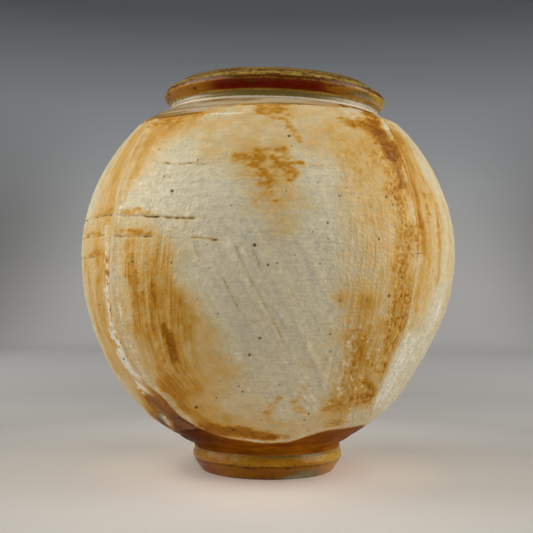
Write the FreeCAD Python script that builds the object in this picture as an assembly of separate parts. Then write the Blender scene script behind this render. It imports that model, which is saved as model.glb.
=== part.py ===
import FreeCAD, Part
import math
import os

# Faceted moon jar, millimetres, +Z up, origin at the middle of the foot's underside.
# Two thrown bowls are joined at the widest height, four broad panels are cut round the belly,
# and each panel carries its own coat of slip. The front panel faces -Y.

# Body, measured at the middle of a panel
body_radius = 136.6
waist_height = 155.0
shoulder_rise = 107.1
belly_arc_share = 0.8463
belly_turn_drop = 48.0
panel_axis_offset = 10.0
wall_thickness = 7.0
floor_thickness = 9.0

# Slip coats on the panels, and the bare strip of clay left between two of them
coat_thickness = 0.9
ridge_strip_width = 6.0

# Joints made with soft slip, and the coil pressed over the waist joint inside
waist_joint_thickness = 0.5
foot_joint_thickness = 0.4
collar_joint_thickness = 0.4
waist_coil_height = 17.0
waist_coil_depth = 4.0

# Foot ring, with its widths measured out from its bore, and the turned underside above it
foot_bore_radius = 38.5
foot_base_width = 9.3
foot_widest_width = 16.4
foot_top_width = 14.8
foot_seat_height = 17.5
foot_edge_height = 3.2
foot_edge_inset = 0.6
foot_widest_height_share = 0.62
turned_ledge = 1.0
turned_width = 21.7
turned_angle = 28.5

# Mouth: its axis stands a little beside the body's and leans towards +X
mouth_offset = 3.1
mouth_lean = 1.4
mouth_bore_radius = 70.0
shoulder_angle = 29.0
shoulder_turned_depth = 3.3
shoulder_ledge = 2.0

# Collar, with its widths measured out from the bore
collar_height = 7.4
collar_base_width = 9.0
collar_base_band = 1.0
collar_waist_width = 7.4
collar_waist_height_share = 0.5
collar_top_width = 8.8

# Rim, with its widths measured out from the bore
rim_height = 15.2
rim_widest_width = 12.0
rim_widest_height_share = 0.32
rim_dome_width = 4.3
rim_dome_height_share = 0.78
rim_lip_overhang = 3.6
rim_lip_height_share = 0.62

panel_names = ["right", "back", "left", "front"]
panel_angles = [0.0, 90.0, 180.0, 270.0]
full_turn = 360.0
eighth_turn = 45.0
overrun = 20.0

z_axis = FreeCAD.Vector(0, 0, 1)


def point(radius, height):
    """A point of a profile, drawn in the plane through the axis."""
    return FreeCAD.Vector(radius, 0, height)


def line(start, end):
    return Part.LineSegment(start, end).toShape()


def arc(start, middle, end):
    return Part.Arc(start, middle, end).toShape()


def polyline(points):
    return [line(start, end) for start, end in zip(points[:-1], points[1:])]


def spin(edges):
    """The solid swept by a closed profile in one full turn about the upright axis."""
    face = Part.Face(Part.Wire(edges))
    return face.revolve(FreeCAD.Vector(0, 0, 0), z_axis, full_turn)


def ring(inner, outer, low, high):
    """A flat ring between two heights."""
    return spin(polyline([
        point(inner, low), point(outer, low), point(outer, high), point(inner, high), point(inner, low)]))


def slab(low, high):
    """A wide flat slice of space between two heights."""
    return Part.makeCylinder(body_radius + overrun, high - low, point(0, low))


def upright_arc_radius(width, height):
    """Radius of an arc that starts upright and moves in by width over height."""
    return (width ** 2 + height ** 2) / (2 * width)


# Sizes that follow from the ones above
foot_top_radius = foot_bore_radius + foot_top_width
foot_seat_radius = foot_top_radius + turned_ledge
turned_slope = math.tan(math.radians(turned_angle))
panel_foot = point(foot_seat_radius + turned_width, foot_seat_height + turned_width * turned_slope)
collar_base_radius = mouth_bore_radius + collar_base_width
collar_seat_radius = collar_base_radius + shoulder_ledge
shoulder_height = waist_height + shoulder_rise
seat_height = shoulder_height - shoulder_turned_depth

# The panel's profile: one arc up from the waist, and two arcs down from it, the first one
# rounder by belly_arc_share than a single arc down to the panel's foot would be
shoulder_arc_radius = upright_arc_radius(body_radius - collar_seat_radius, shoulder_rise)
shoulder_arc_centre = point(body_radius - shoulder_arc_radius, waist_height)
single_arc_radius = upright_arc_radius(body_radius - panel_foot.x, waist_height - panel_foot.z)
belly_arc_radius = single_arc_radius * belly_arc_share
belly_arc_centre = point(body_radius - belly_arc_radius, waist_height)
belly_turn_angle = math.asin(belly_turn_drop / belly_arc_radius)
belly_normal = point(math.cos(belly_turn_angle), -math.sin(belly_turn_angle))
belly_turn = belly_arc_centre + belly_normal * belly_arc_radius
foot_chord = panel_foot - belly_turn
foot_arc_radius = foot_chord.Length ** 2 / (-2 * belly_normal.dot(foot_chord))
foot_arc_centre = belly_turn - belly_normal * foot_arc_radius
panel_foot_angle = math.atan2(foot_arc_centre.z - panel_foot.z, panel_foot.x - foot_arc_centre.x)


def on_arc(centre, radius, angle, inset, shift):
    """A point of one of the profile's arcs, moved in by inset and sideways by shift."""
    reach = radius - inset
    return point(centre.x + shift + reach * math.cos(angle), centre.z + reach * math.sin(angle))


def body_profile(inset, shift):
    """Closed half outline of the body, inset from the panel's surface, with its axis moved by shift."""
    # Both ends run on straight past the turned faces, which trim them later
    top_radius = mouth_bore_radius - mouth_offset
    top_angle = math.acos((top_radius - shoulder_arc_centre.x) / (shoulder_arc_radius - inset))
    waist = on_arc(shoulder_arc_centre, shoulder_arc_radius, 0, inset, shift)
    top = on_arc(shoulder_arc_centre, shoulder_arc_radius, top_angle, inset, shift)
    upper = arc(waist, on_arc(shoulder_arc_centre, shoulder_arc_radius, top_angle / 2, inset, shift), top)
    turn = on_arc(belly_arc_centre, belly_arc_radius, -belly_turn_angle, inset, shift)
    belly = arc(waist, on_arc(belly_arc_centre, belly_arc_radius, -belly_turn_angle / 2, inset, shift), turn)
    low = on_arc(foot_arc_centre, foot_arc_radius, -panel_foot_angle, inset, shift)
    middle_angle = -(belly_turn_angle + panel_foot_angle) / 2
    lower = arc(turn, on_arc(foot_arc_centre, foot_arc_radius, middle_angle, inset, shift), low)
    tail = low - point(math.sin(panel_foot_angle), math.cos(panel_foot_angle)) * overrun
    closing = polyline([
        low, tail, point(tail.x, tail.z - overrun), point(0, tail.z - overrun),
        point(0, top.z + overrun), point(top.x, top.z + overrun), top])
    return [upper, belly, lower] + closing


def panel_solid(angle, inset):
    """Round solid whose side is one panel's surface, its axis set back from the jar's axis."""
    solid = spin(body_profile(inset, panel_axis_offset))
    solid.translate(FreeCAD.Vector(-panel_axis_offset, 0, 0))
    solid.rotate(FreeCAD.Vector(0, 0, 0), z_axis, angle)
    return solid


def turned_solid(inset):
    """Everything above the turned underside: a flat seat for the foot, then a wide cone."""
    reach = body_radius + overrun
    rise = inset / math.cos(math.radians(turned_angle))
    seat = foot_seat_height + inset
    edge = foot_seat_radius - (rise - inset) / turned_slope
    top = shoulder_height + overrun
    cone_top = seat + (reach - edge) * turned_slope
    return spin(polyline([
        point(0, seat), point(edge, seat), point(reach, cone_top), point(reach, top),
        point(0, top), point(0, seat)]))


def wedge(angle, strip):
    """Upright quarter of the jar round one panel, kept back by strip from the ridges."""
    reach = 2 * body_radius
    start = strip / math.sin(math.radians(eighth_turn))
    corners = [
        FreeCAD.Vector(start, 0, 0), FreeCAD.Vector(start + reach, -reach, 0),
        FreeCAD.Vector(start + reach, reach, 0), FreeCAD.Vector(start, 0, 0)]
    prism = Part.Face(Part.makePolygon(corners)).extrude(point(0, shoulder_height + overrun))
    prism.rotate(FreeCAD.Vector(0, 0, 0), z_axis, angle)
    return prism


# The mouth's own frame: heights in it start at the seat turned on the shoulder
mouth_frame = FreeCAD.Placement(
    point(mouth_offset, seat_height), FreeCAD.Rotation(FreeCAD.Vector(0, 1, 0), mouth_lean))


def in_mouth(shape):
    """A shape drawn about the mouth's axis, placed on the jar."""
    placed = shape.copy()
    placed.Placement = mouth_frame.multiply(placed.Placement)
    return placed


def shoulder_solid():
    """Everything below the turned shoulder: a flat seat for the collar, then a shallow cone."""
    reach = body_radius + overrun
    cone_low = -(reach - collar_seat_radius) * math.tan(math.radians(shoulder_angle))
    low = -(shoulder_height + overrun)
    return in_mouth(spin(polyline([
        point(0, low), point(reach, low), point(reach, cone_low), point(collar_seat_radius, 0),
        point(0, 0), point(0, low)])))


def mouth_bore():
    """The opening through the shoulder under the collar."""
    depth = wall_thickness + shoulder_turned_depth + overrun
    return in_mouth(Part.makeCylinder(mouth_bore_radius, depth + overrun, point(0, -depth)))


def body_outside():
    """The cut and turned outside of both bowls as one block, before it is hollowed."""
    block = panel_solid(panel_angles[0], 0)
    for angle in panel_angles[1:]:
        block = block.common(panel_solid(angle, 0))
    return block.common(turned_solid(0)).common(shoulder_solid())


def body_cavity():
    """The round inside of both bowls."""
    floor_level = foot_seat_height + floor_thickness
    room = slab(floor_level, shoulder_height + overrun)
    return spin(body_profile(wall_thickness, 0)).common(turned_solid(wall_thickness)).common(room)


def slip_coat(angle, outside):
    """The slip on one panel, as thick as the layer cut away for it."""
    covered = outside.common(wedge(angle, ridge_strip_width / 2))
    return covered.cut(panel_solid(angle, coat_thickness))


def waist_coil(cavity):
    """A low rounded coil that backs the waist joint on the inside wall."""
    section = upright_arc_radius(waist_coil_depth, waist_coil_height / 2)
    ring_radius = body_radius - wall_thickness - waist_coil_depth + section
    return Part.makeTorus(ring_radius, section, point(0, waist_height)).common(cavity)


def foot_ring():
    """The foot: a flat base, a bevel out to its widest line and a short wall up to the joint."""
    top = foot_seat_height - foot_joint_thickness
    widest_height = top * foot_widest_height_share
    widest_radius = foot_bore_radius + foot_widest_width
    base = point(foot_bore_radius + foot_base_width, 0)
    edge_low = point(widest_radius - foot_edge_inset, widest_height - foot_edge_height / 2)
    edge_high = point(widest_radius - foot_edge_inset, widest_height + foot_edge_height / 2)
    outline = polyline([point(foot_top_radius, top), point(foot_bore_radius, top),
                        point(foot_bore_radius, 0), base, edge_low])
    outline.append(arc(edge_low, point(widest_radius, widest_height), edge_high))
    outline.append(line(edge_high, point(foot_top_radius, top)))
    return spin(outline)


def neck_collar():
    """The short waisted neck, with a crisp band where it stands on the shoulder."""
    low = collar_joint_thickness
    top = low + collar_height
    band = point(collar_base_radius, low + collar_base_band)
    waist = point(mouth_bore_radius + collar_waist_width, low + collar_height * collar_waist_height_share)
    lip = point(mouth_bore_radius + collar_top_width, top)
    outline = polyline([lip, point(mouth_bore_radius, top), point(mouth_bore_radius, low),
                        point(collar_base_radius, low), band])
    outline.append(arc(band, waist, lip))
    return in_mouth(spin(outline))


def rim():
    """The thick rolled lip: widest low down outside, domed over the top and standing in over the bore."""
    low = collar_joint_thickness + collar_height
    under = point(mouth_bore_radius + collar_top_width, low)
    widest = point(mouth_bore_radius + rim_widest_width, low + rim_height * rim_widest_height_share)
    dome = point(mouth_bore_radius + rim_dome_width, low + rim_height * rim_dome_height_share)
    crest = point(mouth_bore_radius, low + rim_height)
    lip = point(mouth_bore_radius - rim_lip_overhang, low + rim_height * rim_lip_height_share)
    roll = Part.BSplineCurve()
    roll.interpolate([under, widest, dome, crest, lip])
    outline = [roll.toShape()] + polyline([lip, point(mouth_bore_radius, low), under])
    return in_mouth(spin(outline))


def build():
    """Every piece of the jar by its name."""
    outside = body_outside()
    cavity = body_cavity()
    coats = {name: slip_coat(angle, outside) for name, angle in zip(panel_names, panel_angles)}
    clay = outside.cut(cavity).cut(mouth_bore())
    for coat in coats.values():
        clay = clay.cut(coat)
    joint_low = waist_height - waist_joint_thickness / 2
    joint_high = waist_height + waist_joint_thickness / 2
    foot_joint_low = foot_seat_height - foot_joint_thickness
    pieces = {
        "foot_ring": foot_ring(),
        "foot_luting": ring(foot_bore_radius, foot_top_radius, foot_joint_low, foot_seat_height),
        "lower_bowl": clay.common(slab(0, joint_low)),
        "waist_luting": clay.common(slab(joint_low, joint_high)),
        "upper_bowl": clay.common(slab(joint_high, shoulder_height + overrun)),
        "waist_coil": waist_coil(cavity),
        "collar_luting": in_mouth(ring(mouth_bore_radius, collar_base_radius, 0, collar_joint_thickness)),
        "neck_collar": neck_collar(),
        "rim": rim()}
    for name, coat in coats.items():
        pieces["slip_coat_" + name] = coat
    return pieces


os.makedirs("parts", exist_ok=True)
for name, shape in build().items():
    piece = max(shape.Solids, key=lambda solid: solid.Volume)
    print(name, "solids", len(shape.Solids), "volume", round(piece.Volume), "valid", piece.isValid())
    piece.exportStep("parts/" + name + ".step")
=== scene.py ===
import bpy
import math
import numpy as np
from mathutils import Matrix, Vector


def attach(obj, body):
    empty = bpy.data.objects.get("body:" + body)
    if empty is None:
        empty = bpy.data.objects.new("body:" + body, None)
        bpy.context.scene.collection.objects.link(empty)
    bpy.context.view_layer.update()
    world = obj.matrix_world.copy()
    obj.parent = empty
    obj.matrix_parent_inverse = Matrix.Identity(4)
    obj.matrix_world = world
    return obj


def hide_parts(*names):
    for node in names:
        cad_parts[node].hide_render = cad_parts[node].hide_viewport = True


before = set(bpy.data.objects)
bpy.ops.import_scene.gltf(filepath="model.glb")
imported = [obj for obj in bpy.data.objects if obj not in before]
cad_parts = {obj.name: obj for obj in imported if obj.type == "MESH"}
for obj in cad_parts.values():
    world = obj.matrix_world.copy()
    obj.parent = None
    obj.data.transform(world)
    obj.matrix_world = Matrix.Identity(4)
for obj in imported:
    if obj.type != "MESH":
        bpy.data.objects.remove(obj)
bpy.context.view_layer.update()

# Lengths below are millimetres and angles degrees. Azimuth 0 is the front, 90 the jar's right side (+X).
MM = 0.001

# The jar's sizes, as in the CAD source
WAIST = 155.0
PANEL_SETBACK = 10.0
SHOULDER_ARC = (5.65, 155.0, 130.95)
BELLY_ARC = (0.6, 155.0, 136.0)
FOOT_ARC = (-65.84, 180.06, 207.01)
BELLY_TURN = 107.0
WALL = 7.0
COAT = 0.9
SEAT_RADIUS = 54.3
SEAT_HEIGHT = 17.5
FLOOR_HEIGHT = 26.5
MOUTH_SHIFT = 3.1
MOUTH_HEIGHT = 258.8
MOUTH_LEAN = math.radians(1.4)
SHOULDER_SEAT = 81.0
SHOULDER_SLOPE = math.tan(math.radians(29.0))
TOP_INNER = 73.6
FOOT_BORE = 38.5

# A panel's width measured round the jar, and about how far a ridge is from the axis
PANEL_SPAN = 214.0
RIDGE_RADIUS = 120.0


# Arrays, masks and noise

def smooth(low, high, x):
    """0 below low, 1 above high, and a smooth step between."""
    t = np.clip((x - low) / (high - low), 0.0, 1.0)
    return t * t * (3.0 - 2.0 * t)


def bell(x, width):
    return np.exp(-(x / width) ** 2)


# Large primes that mix the bits of a whole number, and the mask of its low 32 bits
MIX_PRIMES = (2654435761, 2246822519, 3266489917)
SEED_PRIME = 374761393
LOW_BITS = 2 ** 32 - 1


def lattice(cell, seed):
    """A repeatable random number from 0 to 1 for each whole-numbered cell."""
    h = np.full(cell.shape[:-1], (seed * MIX_PRIMES[2] + SEED_PRIME) % (LOW_BITS + 1), np.uint64)
    for axis, prime in enumerate(MIX_PRIMES):
        h = (h ^ (cell[..., axis].astype(np.uint64) * np.uint64(prime))) & np.uint64(LOW_BITS)
        h = (h ^ (h >> np.uint64(15))) * np.uint64(MIX_PRIMES[1]) & np.uint64(LOW_BITS)
        h = h ^ (h >> np.uint64(13))
    return h.astype(float) / LOW_BITS


def noise(points, size, seed):
    """Smooth noise from -1 to 1 with lumps of the given size, one number or one for each axis."""
    p = points / np.asarray(size, float)
    base = np.floor(p)
    f = p - base
    f = f * f * f * (f * (6.0 * f - 15.0) + 10.0)
    base = base.astype(np.int64)
    total = 0.0
    for dx in (0, 1):
        wx = f[..., 0] if dx else 1.0 - f[..., 0]
        for dy in (0, 1):
            wy = f[..., 1] if dy else 1.0 - f[..., 1]
            for dz in (0, 1):
                wz = f[..., 2] if dz else 1.0 - f[..., 2]
                total = total + wx * wy * wz * lattice(base + np.array([dx, dy, dz]), seed)
    return 2.0 * total - 1.0


def rough(points, size, seed, octaves=3):
    """Several layers of noise, each half the size and a little over half the strength of the one before."""
    total, weight, sum_weight = 0.0, 1.0, 0.0
    for octave in range(octaves):
        total = total + weight * noise(points, np.asarray(size, float) / 2.0 ** octave, seed + 17 * octave)
        sum_weight += weight
        weight *= 0.55
    return total / sum_weight


def flat(u, v):
    """Points of a plane for noise that is stretched along it."""
    u, v = np.broadcast_arrays(u, v)
    return np.stack([u, v, np.zeros(u.shape)], -1)


# The body's outside. Column angles are counted with the ridges at exactly 45, 135, 225 and 315,
# and azimuth() bends them to where each ridge really runs.

RIDGE_BENDS = [
    ([36, 39, 50, 62, 91, 105, 133, 156, 178, 201, 225, 247, 258],
     [9.6, 8.3, 3.2, -0.7, -2.0, -0.6, -1.1, -0.3, -0.2, -0.3, 1.3, 5.9, 8.0]),
    ([36, 60, 90, 130, 180, 230, 258], [-7.0, -1.0, 1.6, 0.6, -0.9, 1.2, 4.5]),
    ([36, 55, 80, 120, 170, 225, 258], [7.0, 1.8, -1.3, 1.0, -0.6, 0.6, -3.5]),
    ([34, 38, 42, 46, 52, 58, 62, 67, 81, 103, 131, 158, 176, 199, 224, 246, 258],
     [19.4, 15.8, 12.6, 9.1, 7.7, 7.0, 5.2, 2.0, -2.7, -2.6, -0.8, 0.3, 0.5, -1.3, -1.4, -4.8, -9.5]),
]
RIDGES = [45.0, 135.0, 225.0, 315.0]


def azimuth(column, height):
    """Azimuth of a column at a height, following the bent ridges."""
    shift = [np.interp(height, heights, bends) for heights, bends in RIDGE_BENDS]
    turn = (column - RIDGES[0]) % 360.0 / 90.0
    first = np.floor(turn).astype(int) % 4
    share = turn - np.floor(turn)
    return column + np.choose(first, shift) * (1.0 - share) + np.choose((first + 1) % 4, shift) * share


def arc_radius(arc, height, inset=0.0):
    reach = np.maximum((arc[2] - inset) ** 2 - (height - arc[1]) ** 2, 0.0)
    return arc[0] + np.sqrt(reach)


def profile_radius(height, inset=0.0):
    """Radius at the middle of a panel."""
    turn = WAIST - (BELLY_ARC[2] - inset) * (WAIST - BELLY_TURN) / BELLY_ARC[2]
    below = np.where(height < turn, arc_radius(FOOT_ARC, height, inset), arc_radius(BELLY_ARC, height, inset))
    return np.where(height >= WAIST, arc_radius(SHOULDER_ARC, height, inset), below)


def panel_radius(column, height):
    off = np.radians((column + 45.0) % 90.0 - 45.0)
    reach = profile_radius(height) + PANEL_SETBACK
    return np.sqrt(reach ** 2 - (PANEL_SETBACK * np.sin(off)) ** 2) - PANEL_SETBACK * np.cos(off)


def signed(angle):
    return (angle + 180.0) % 360.0 - 180.0


def place(radius, angle, height):
    turn = np.radians(angle)
    return np.stack([radius * np.sin(turn), -radius * np.cos(turn), height + 0.0 * radius], -1)


def to_mouth(points):
    """From the jar's frame to the mouth's, whose heights start at the shoulder's seat."""
    x, z = points[..., 0] - MOUTH_SHIFT, points[..., 2] - MOUTH_HEIGHT
    c, s = math.cos(MOUTH_LEAN), math.sin(MOUTH_LEAN)
    return np.stack([c * x - s * z, points[..., 1], s * x + c * z], -1)


def from_mouth(points):
    c, s = math.cos(MOUTH_LEAN), math.sin(MOUTH_LEAN)
    x = c * points[..., 0] + s * points[..., 2]
    z = c * points[..., 2] - s * points[..., 0]
    return np.stack([x + MOUTH_SHIFT, points[..., 1], z + MOUTH_HEIGHT], -1)


def shoulder_radius(angle, height):
    """Radius of the cone turned on the shoulder."""
    radius = np.full(np.broadcast(angle, height).shape, 90.0)
    for _ in range(8):
        local = to_mouth(place(radius, angle, height))
        reach = np.hypot(local[..., 0], local[..., 1])
        radius = radius + (SHOULDER_SEAT - local[..., 2] / SHOULDER_SLOPE) - reach
    return radius


# Lower edge of the panels, where the turned underside starts, by azimuth
EDGE_ANGLES = [-135, -115, -90, -66, -50, -38, -31, -28, -23, -16.7, -1.1, 12, 17.3, 22, 26.6, 31.3, 37.3,
               43.9, 51.1, 60, 72, 92, 113, 133, 146, 178, 205, 221, 225]
EDGE_HEIGHTS = [35.5, 31, 29.6, 30, 32, 34.5, 37.5, 38, 35, 32.3, 29.4, 29.9, 32.6, 34.8, 36.7, 38.2, 38.3,
                38.4, 38.7, 37, 32.5, 29.4, 31, 36.5, 33, 29.2, 31.5, 37, 35.5]
EDGE_BLUR = 24
edge_table = np.linspace(-180.0, 180.0, 1441)
sharp_edge = np.interp((edge_table + 135.0) % 360.0 - 135.0, EDGE_ANGLES, EDGE_HEIGHTS)
sharp_edge = np.concatenate([sharp_edge[-EDGE_BLUR - 1:-1], sharp_edge, sharp_edge[1:EDGE_BLUR + 1]])
blur = bell(np.arange(-EDGE_BLUR, EDGE_BLUR + 1), 7.0)
soft_edge = np.convolve(sharp_edge, blur / blur.sum(), "valid")


def lower_edge(angle):
    return np.interp(signed(angle), edge_table, soft_edge)


# The cuts went deeper low on the right side and shallower on the left, measured against the even form
SLUMP_HEIGHTS = [16, 20, 24, 28, 32, 36, 41, 47, 57, 72, 88, 112, 135, 160, 200, 240]
SLUMP_RIGHT = [0, -2.4, -4.1, -7.0, -9.4, -9.2, -7.2, -5.0, -3.6, -4.1, -3.5, -2.2, -1.4, -1.0, -1.0, 0]
SLUMP_LEFT = [0, 0.5, -0.6, -4.5, -4.3, -1.4, 0.6, 1.1, 3.0, 2.8, 1.9, 0.6, 0, 0, 0, 0]
GROOVE_TOP = 19.6
GROOVE_RADIUS = SEAT_RADIUS - 0.8


def slump(angle, height):
    across = np.sin(np.radians(angle))
    right = np.interp(height, SLUMP_HEIGHTS, SLUMP_RIGHT)
    left = np.interp(height, SLUMP_HEIGHTS, SLUMP_LEFT)
    return np.where(across > 0.0, right, left) * across ** 2


def cone_radius(column, angle, height):
    """Radius of the turned underside, from the groove over the foot to each panel's lower edge."""
    edge = lower_edge(angle)
    slope = (edge - GROOVE_TOP) / (panel_radius(column, edge) - GROOVE_RADIUS)
    return GROOVE_RADIUS + np.maximum(height - GROOVE_TOP, 0.0) / slope


def outer_radius(column, angle, height):
    radius = np.minimum(panel_radius(column, height), shoulder_radius(angle, height))
    cone = np.minimum(radius, cone_radius(column, angle, height))
    radius = np.where(height < lower_edge(angle), cone, radius)
    return np.maximum(radius + slump(angle, height), GROOVE_RADIUS)


def ridge_distance(column, radius):
    """Signed distance across to the nearest ridge, and which ridge it is."""
    which = np.round((column - RIDGES[0]) / 90.0).astype(int) % 4
    off = (column - RIDGES[0] + 45.0) % 90.0 - 45.0
    return np.radians(off) * radius, which


# Each ridge has a bead of clay along it, and a step low down where one cut stands over the next
BEAD_HEIGHT = [0.7, 0.9, 0.8, 1.1]
BEAD_WIDTH = [2.0, 3.0, 2.6, 3.6]
STEP_HEIGHT = [0.0, 0.6, 0.5, 3.0]


def body_relief(column, angle, height, radius):
    """How far the thrown, cut and fired clay stands off its true form."""
    p = place(radius, angle, height)
    relief = 0.4 * noise(p, 62.0, 3) + 0.16 * noise(p, 24.0, 5) + 0.05 * noise(p, 9.0, 7)
    across, which = ridge_distance(column, radius)
    tall = np.choose(which, BEAD_HEIGHT)
    wide = np.choose(which, BEAD_WIDTH)
    along = smooth(38.0, 60.0, height) * smooth(256.0, 235.0, height)
    waver = 0.75 + 0.35 * noise(flat(height, 40.0 * which), (14.0, 5.0, 5.0), 11)
    bead = bell(across, wide) - 0.32 * bell(np.abs(across) - 2.6 * wide, wide)
    relief = relief + along * waver * tall * bead
    low = smooth(88.0, 56.0, height) * smooth(26.0, 34.0, height)
    step = np.choose(which, STEP_HEIGHT)
    relief = relief - low * step * smooth(0.8, -1.2, across) * smooth(-30.0, -8.0, across)
    return relief * smooth(17.0, 24.0, height)


# Arc length up the panel's middle, so that mesh rows are evenly spaced
ROW_HEIGHTS = np.linspace(SEAT_HEIGHT, MOUTH_HEIGHT, 2400)
ROW_RADII = outer_radius(0.0 * ROW_HEIGHTS, 0.0 * ROW_HEIGHTS, ROW_HEIGHTS)
ROW_LENGTHS = np.concatenate([[0.0], np.cumsum(np.hypot(np.diff(ROW_HEIGHTS), np.diff(ROW_RADII)))])


def length_at(height):
    return np.interp(height, ROW_HEIGHTS, ROW_LENGTHS)


def height_at(length):
    return np.interp(length, ROW_LENGTHS, ROW_HEIGHTS)


def grid_normals(points, wrap=False):
    """Outward unit normals of a grid whose rows run up and columns run round."""
    up = np.gradient(points, axis=0)
    if wrap:
        around = np.roll(points, -1, 1) - np.roll(points, 1, 1)
    else:
        around = np.gradient(points, axis=1)
    n = np.cross(around, up)
    return n / np.maximum(np.linalg.norm(n, axis=-1, keepdims=True), 1e-9)


# Meshes

SHARP_ANGLE = math.radians(48.0)


def add_mesh(name, vertices, faces, values, material, nodes):
    """A piece from vertices in millimetres, arrays of faces, and a number for each vertex by name."""
    mesh = bpy.data.meshes.new(name)
    loops = np.concatenate([np.asarray(f).ravel() for f in faces]).astype(np.int32)
    totals = np.concatenate([np.full(len(f), len(f[0])) for f in faces if len(f)]).astype(np.int32)
    mesh.vertices.add(len(vertices))
    mesh.vertices.foreach_set("co", (vertices * MM).astype(np.float32).ravel())
    mesh.loops.add(len(loops))
    mesh.loops.foreach_set("vertex_index", loops)
    mesh.polygons.add(len(totals))
    mesh.polygons.foreach_set("loop_start", np.concatenate([[0], np.cumsum(totals)[:-1]]).astype(np.int32))
    mesh.polygons.foreach_set("loop_total", totals)
    mesh.polygons.foreach_set("use_smooth", np.ones(len(totals), bool))
    mesh.update(calc_edges=True)
    mesh.validate()
    for key, value in values.items():
        layer = mesh.attributes.new(key, "FLOAT", "POINT")
        layer.data.foreach_set("value", np.ascontiguousarray(value, np.float32))
    mesh.set_sharp_from_angle(angle=SHARP_ANGLE)
    mesh.materials.append(material)
    piece = bpy.data.objects.new(name, mesh)
    bpy.context.scene.collection.objects.link(piece)
    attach(piece, "root")
    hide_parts(*nodes)


def quads(rows, columns, wrap):
    """Faces of a grid of vertices, outward for rows that run up and columns that run round."""
    i = np.arange(rows - 1)[:, None]
    j = np.arange(columns if wrap else columns - 1)[None, :]
    k = (j + 1) % columns
    corners = [i * columns + j, i * columns + k, (i + 1) * columns + k, (i + 1) * columns + j]
    return np.stack(corners, -1).reshape(-1, 4)


def closing_quads(rows, columns):
    """Faces that join a grid's last row to its first."""
    faces = quads(2, columns, True)
    return np.where(faces < columns, faces + (rows - 1) * columns, faces - columns)


# Material nodes

class Value:
    """What flows out of a node. Values can be added, subtracted and multiplied."""

    def __init__(self, paint, socket):
        self.paint = paint
        self.socket = socket

    def __add__(self, other):
        return self.paint.calc("ADD", self, other)

    def __sub__(self, other):
        return self.paint.calc("SUBTRACT", self, other)

    def __rsub__(self, other):
        return self.paint.calc("SUBTRACT", other, self)

    def __mul__(self, other):
        return self.paint.calc("MULTIPLY", self, other)


class Paint:
    """A material, with short names for the nodes that the finishes below are made of."""

    def __init__(self, name):
        self.material = bpy.data.materials.new(name)
        self.material.use_nodes = True
        self.tree = self.material.node_tree

    def feed(self, socket, value):
        if isinstance(value, Value):
            self.tree.links.new(value.socket, socket)
        elif isinstance(value, tuple) and len(value) == 3 and socket.type == "RGBA":
            socket.default_value = (*value, 1.0)
        else:
            socket.default_value = value

    def shade(self, inputs):
        """Give the shader its inputs, by name."""
        for name, value in inputs.items():
            self.feed(self.tree.nodes["Principled BSDF"].inputs[name], value)

    def node(self, kind, inputs, output=0, **settings):
        n = self.tree.nodes.new("ShaderNode" + kind)
        for key, setting in settings.items():
            setattr(n, key, setting)
        for key, value in inputs.items():
            self.feed(n.inputs[key], value)
        return Value(self, n.outputs[output])

    def calc(self, operation, a, b=0.0):
        return self.node("Math", {0: a, 1: b}, operation=operation)

    def mix(self, share, a, b, mode="MIX"):
        return self.node("Mix", {0: share, 6: a, 7: b}, 2, data_type="RGBA", blend_type=mode)

    def ranged(self, value, low, high, out_low=0.0, out_high=1.0):
        """A smooth step from out_low to out_high as the value goes from low to high."""
        numbers = dict(enumerate((value, low, high, out_low, out_high)))
        return self.node("MapRange", numbers, interpolation_type="SMOOTHSTEP")

    def attribute(self, name):
        return self.node("Attribute", {}, "Fac", attribute_name=name)

    def position(self, stretch=(1.0, 1.0, 1.0)):
        """Object coordinates in millimetres, stretched for grain that runs one way."""
        scale = tuple(share / MM for share in stretch)
        return self.node("Mapping", {"Scale": scale, "Vector": self.node("TexCoord", {}, "Object")})

    def grain(self, vector, size, detail=3.0, roughness=0.55, distortion=0.0):
        """Noise from 0 to 1 with lumps of the given size in millimetres."""
        return self.node("TexNoise", {"Vector": vector, "Scale": 1.0 / size, "Detail": detail,
                                      "Roughness": roughness, "Distortion": distortion}, "Fac")

    def patches(self, name, grains, low, high, most):
        """A mask broken up by noise, nowhere outside the places that ask for it."""
        wanted = self.attribute(name)
        return self.ranged(jitter(wanted, *grains), low, high, 0.0, most) * self.ranged(wanted, 0.0, 0.12)

    def ramp(self, value, stops):
        """Colour that runs through stops of (position, colour)."""
        colour = self.node("ValToRGB", {0: value})
        band = colour.socket.node.color_ramp
        for element, (spot, tint) in zip(band.elements, (stops[0], stops[-1])):
            element.position, element.color = spot, (*tint, 1.0)
        for spot, tint in stops[1:-1]:
            band.elements.new(spot).color = (*tint, 1.0)
        return colour

    def bump(self, height, distance, strength):
        inputs = {"Strength": strength, "Distance": distance * MM, "Height": height}
        self.shade({"Normal": self.node("Bump", inputs)})


def jitter(value, *grains):
    """A value shifted by grains, each given with its strength."""
    for grain, amount in grains:
        value = value + (grain - 0.5) * amount
    return value


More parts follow.
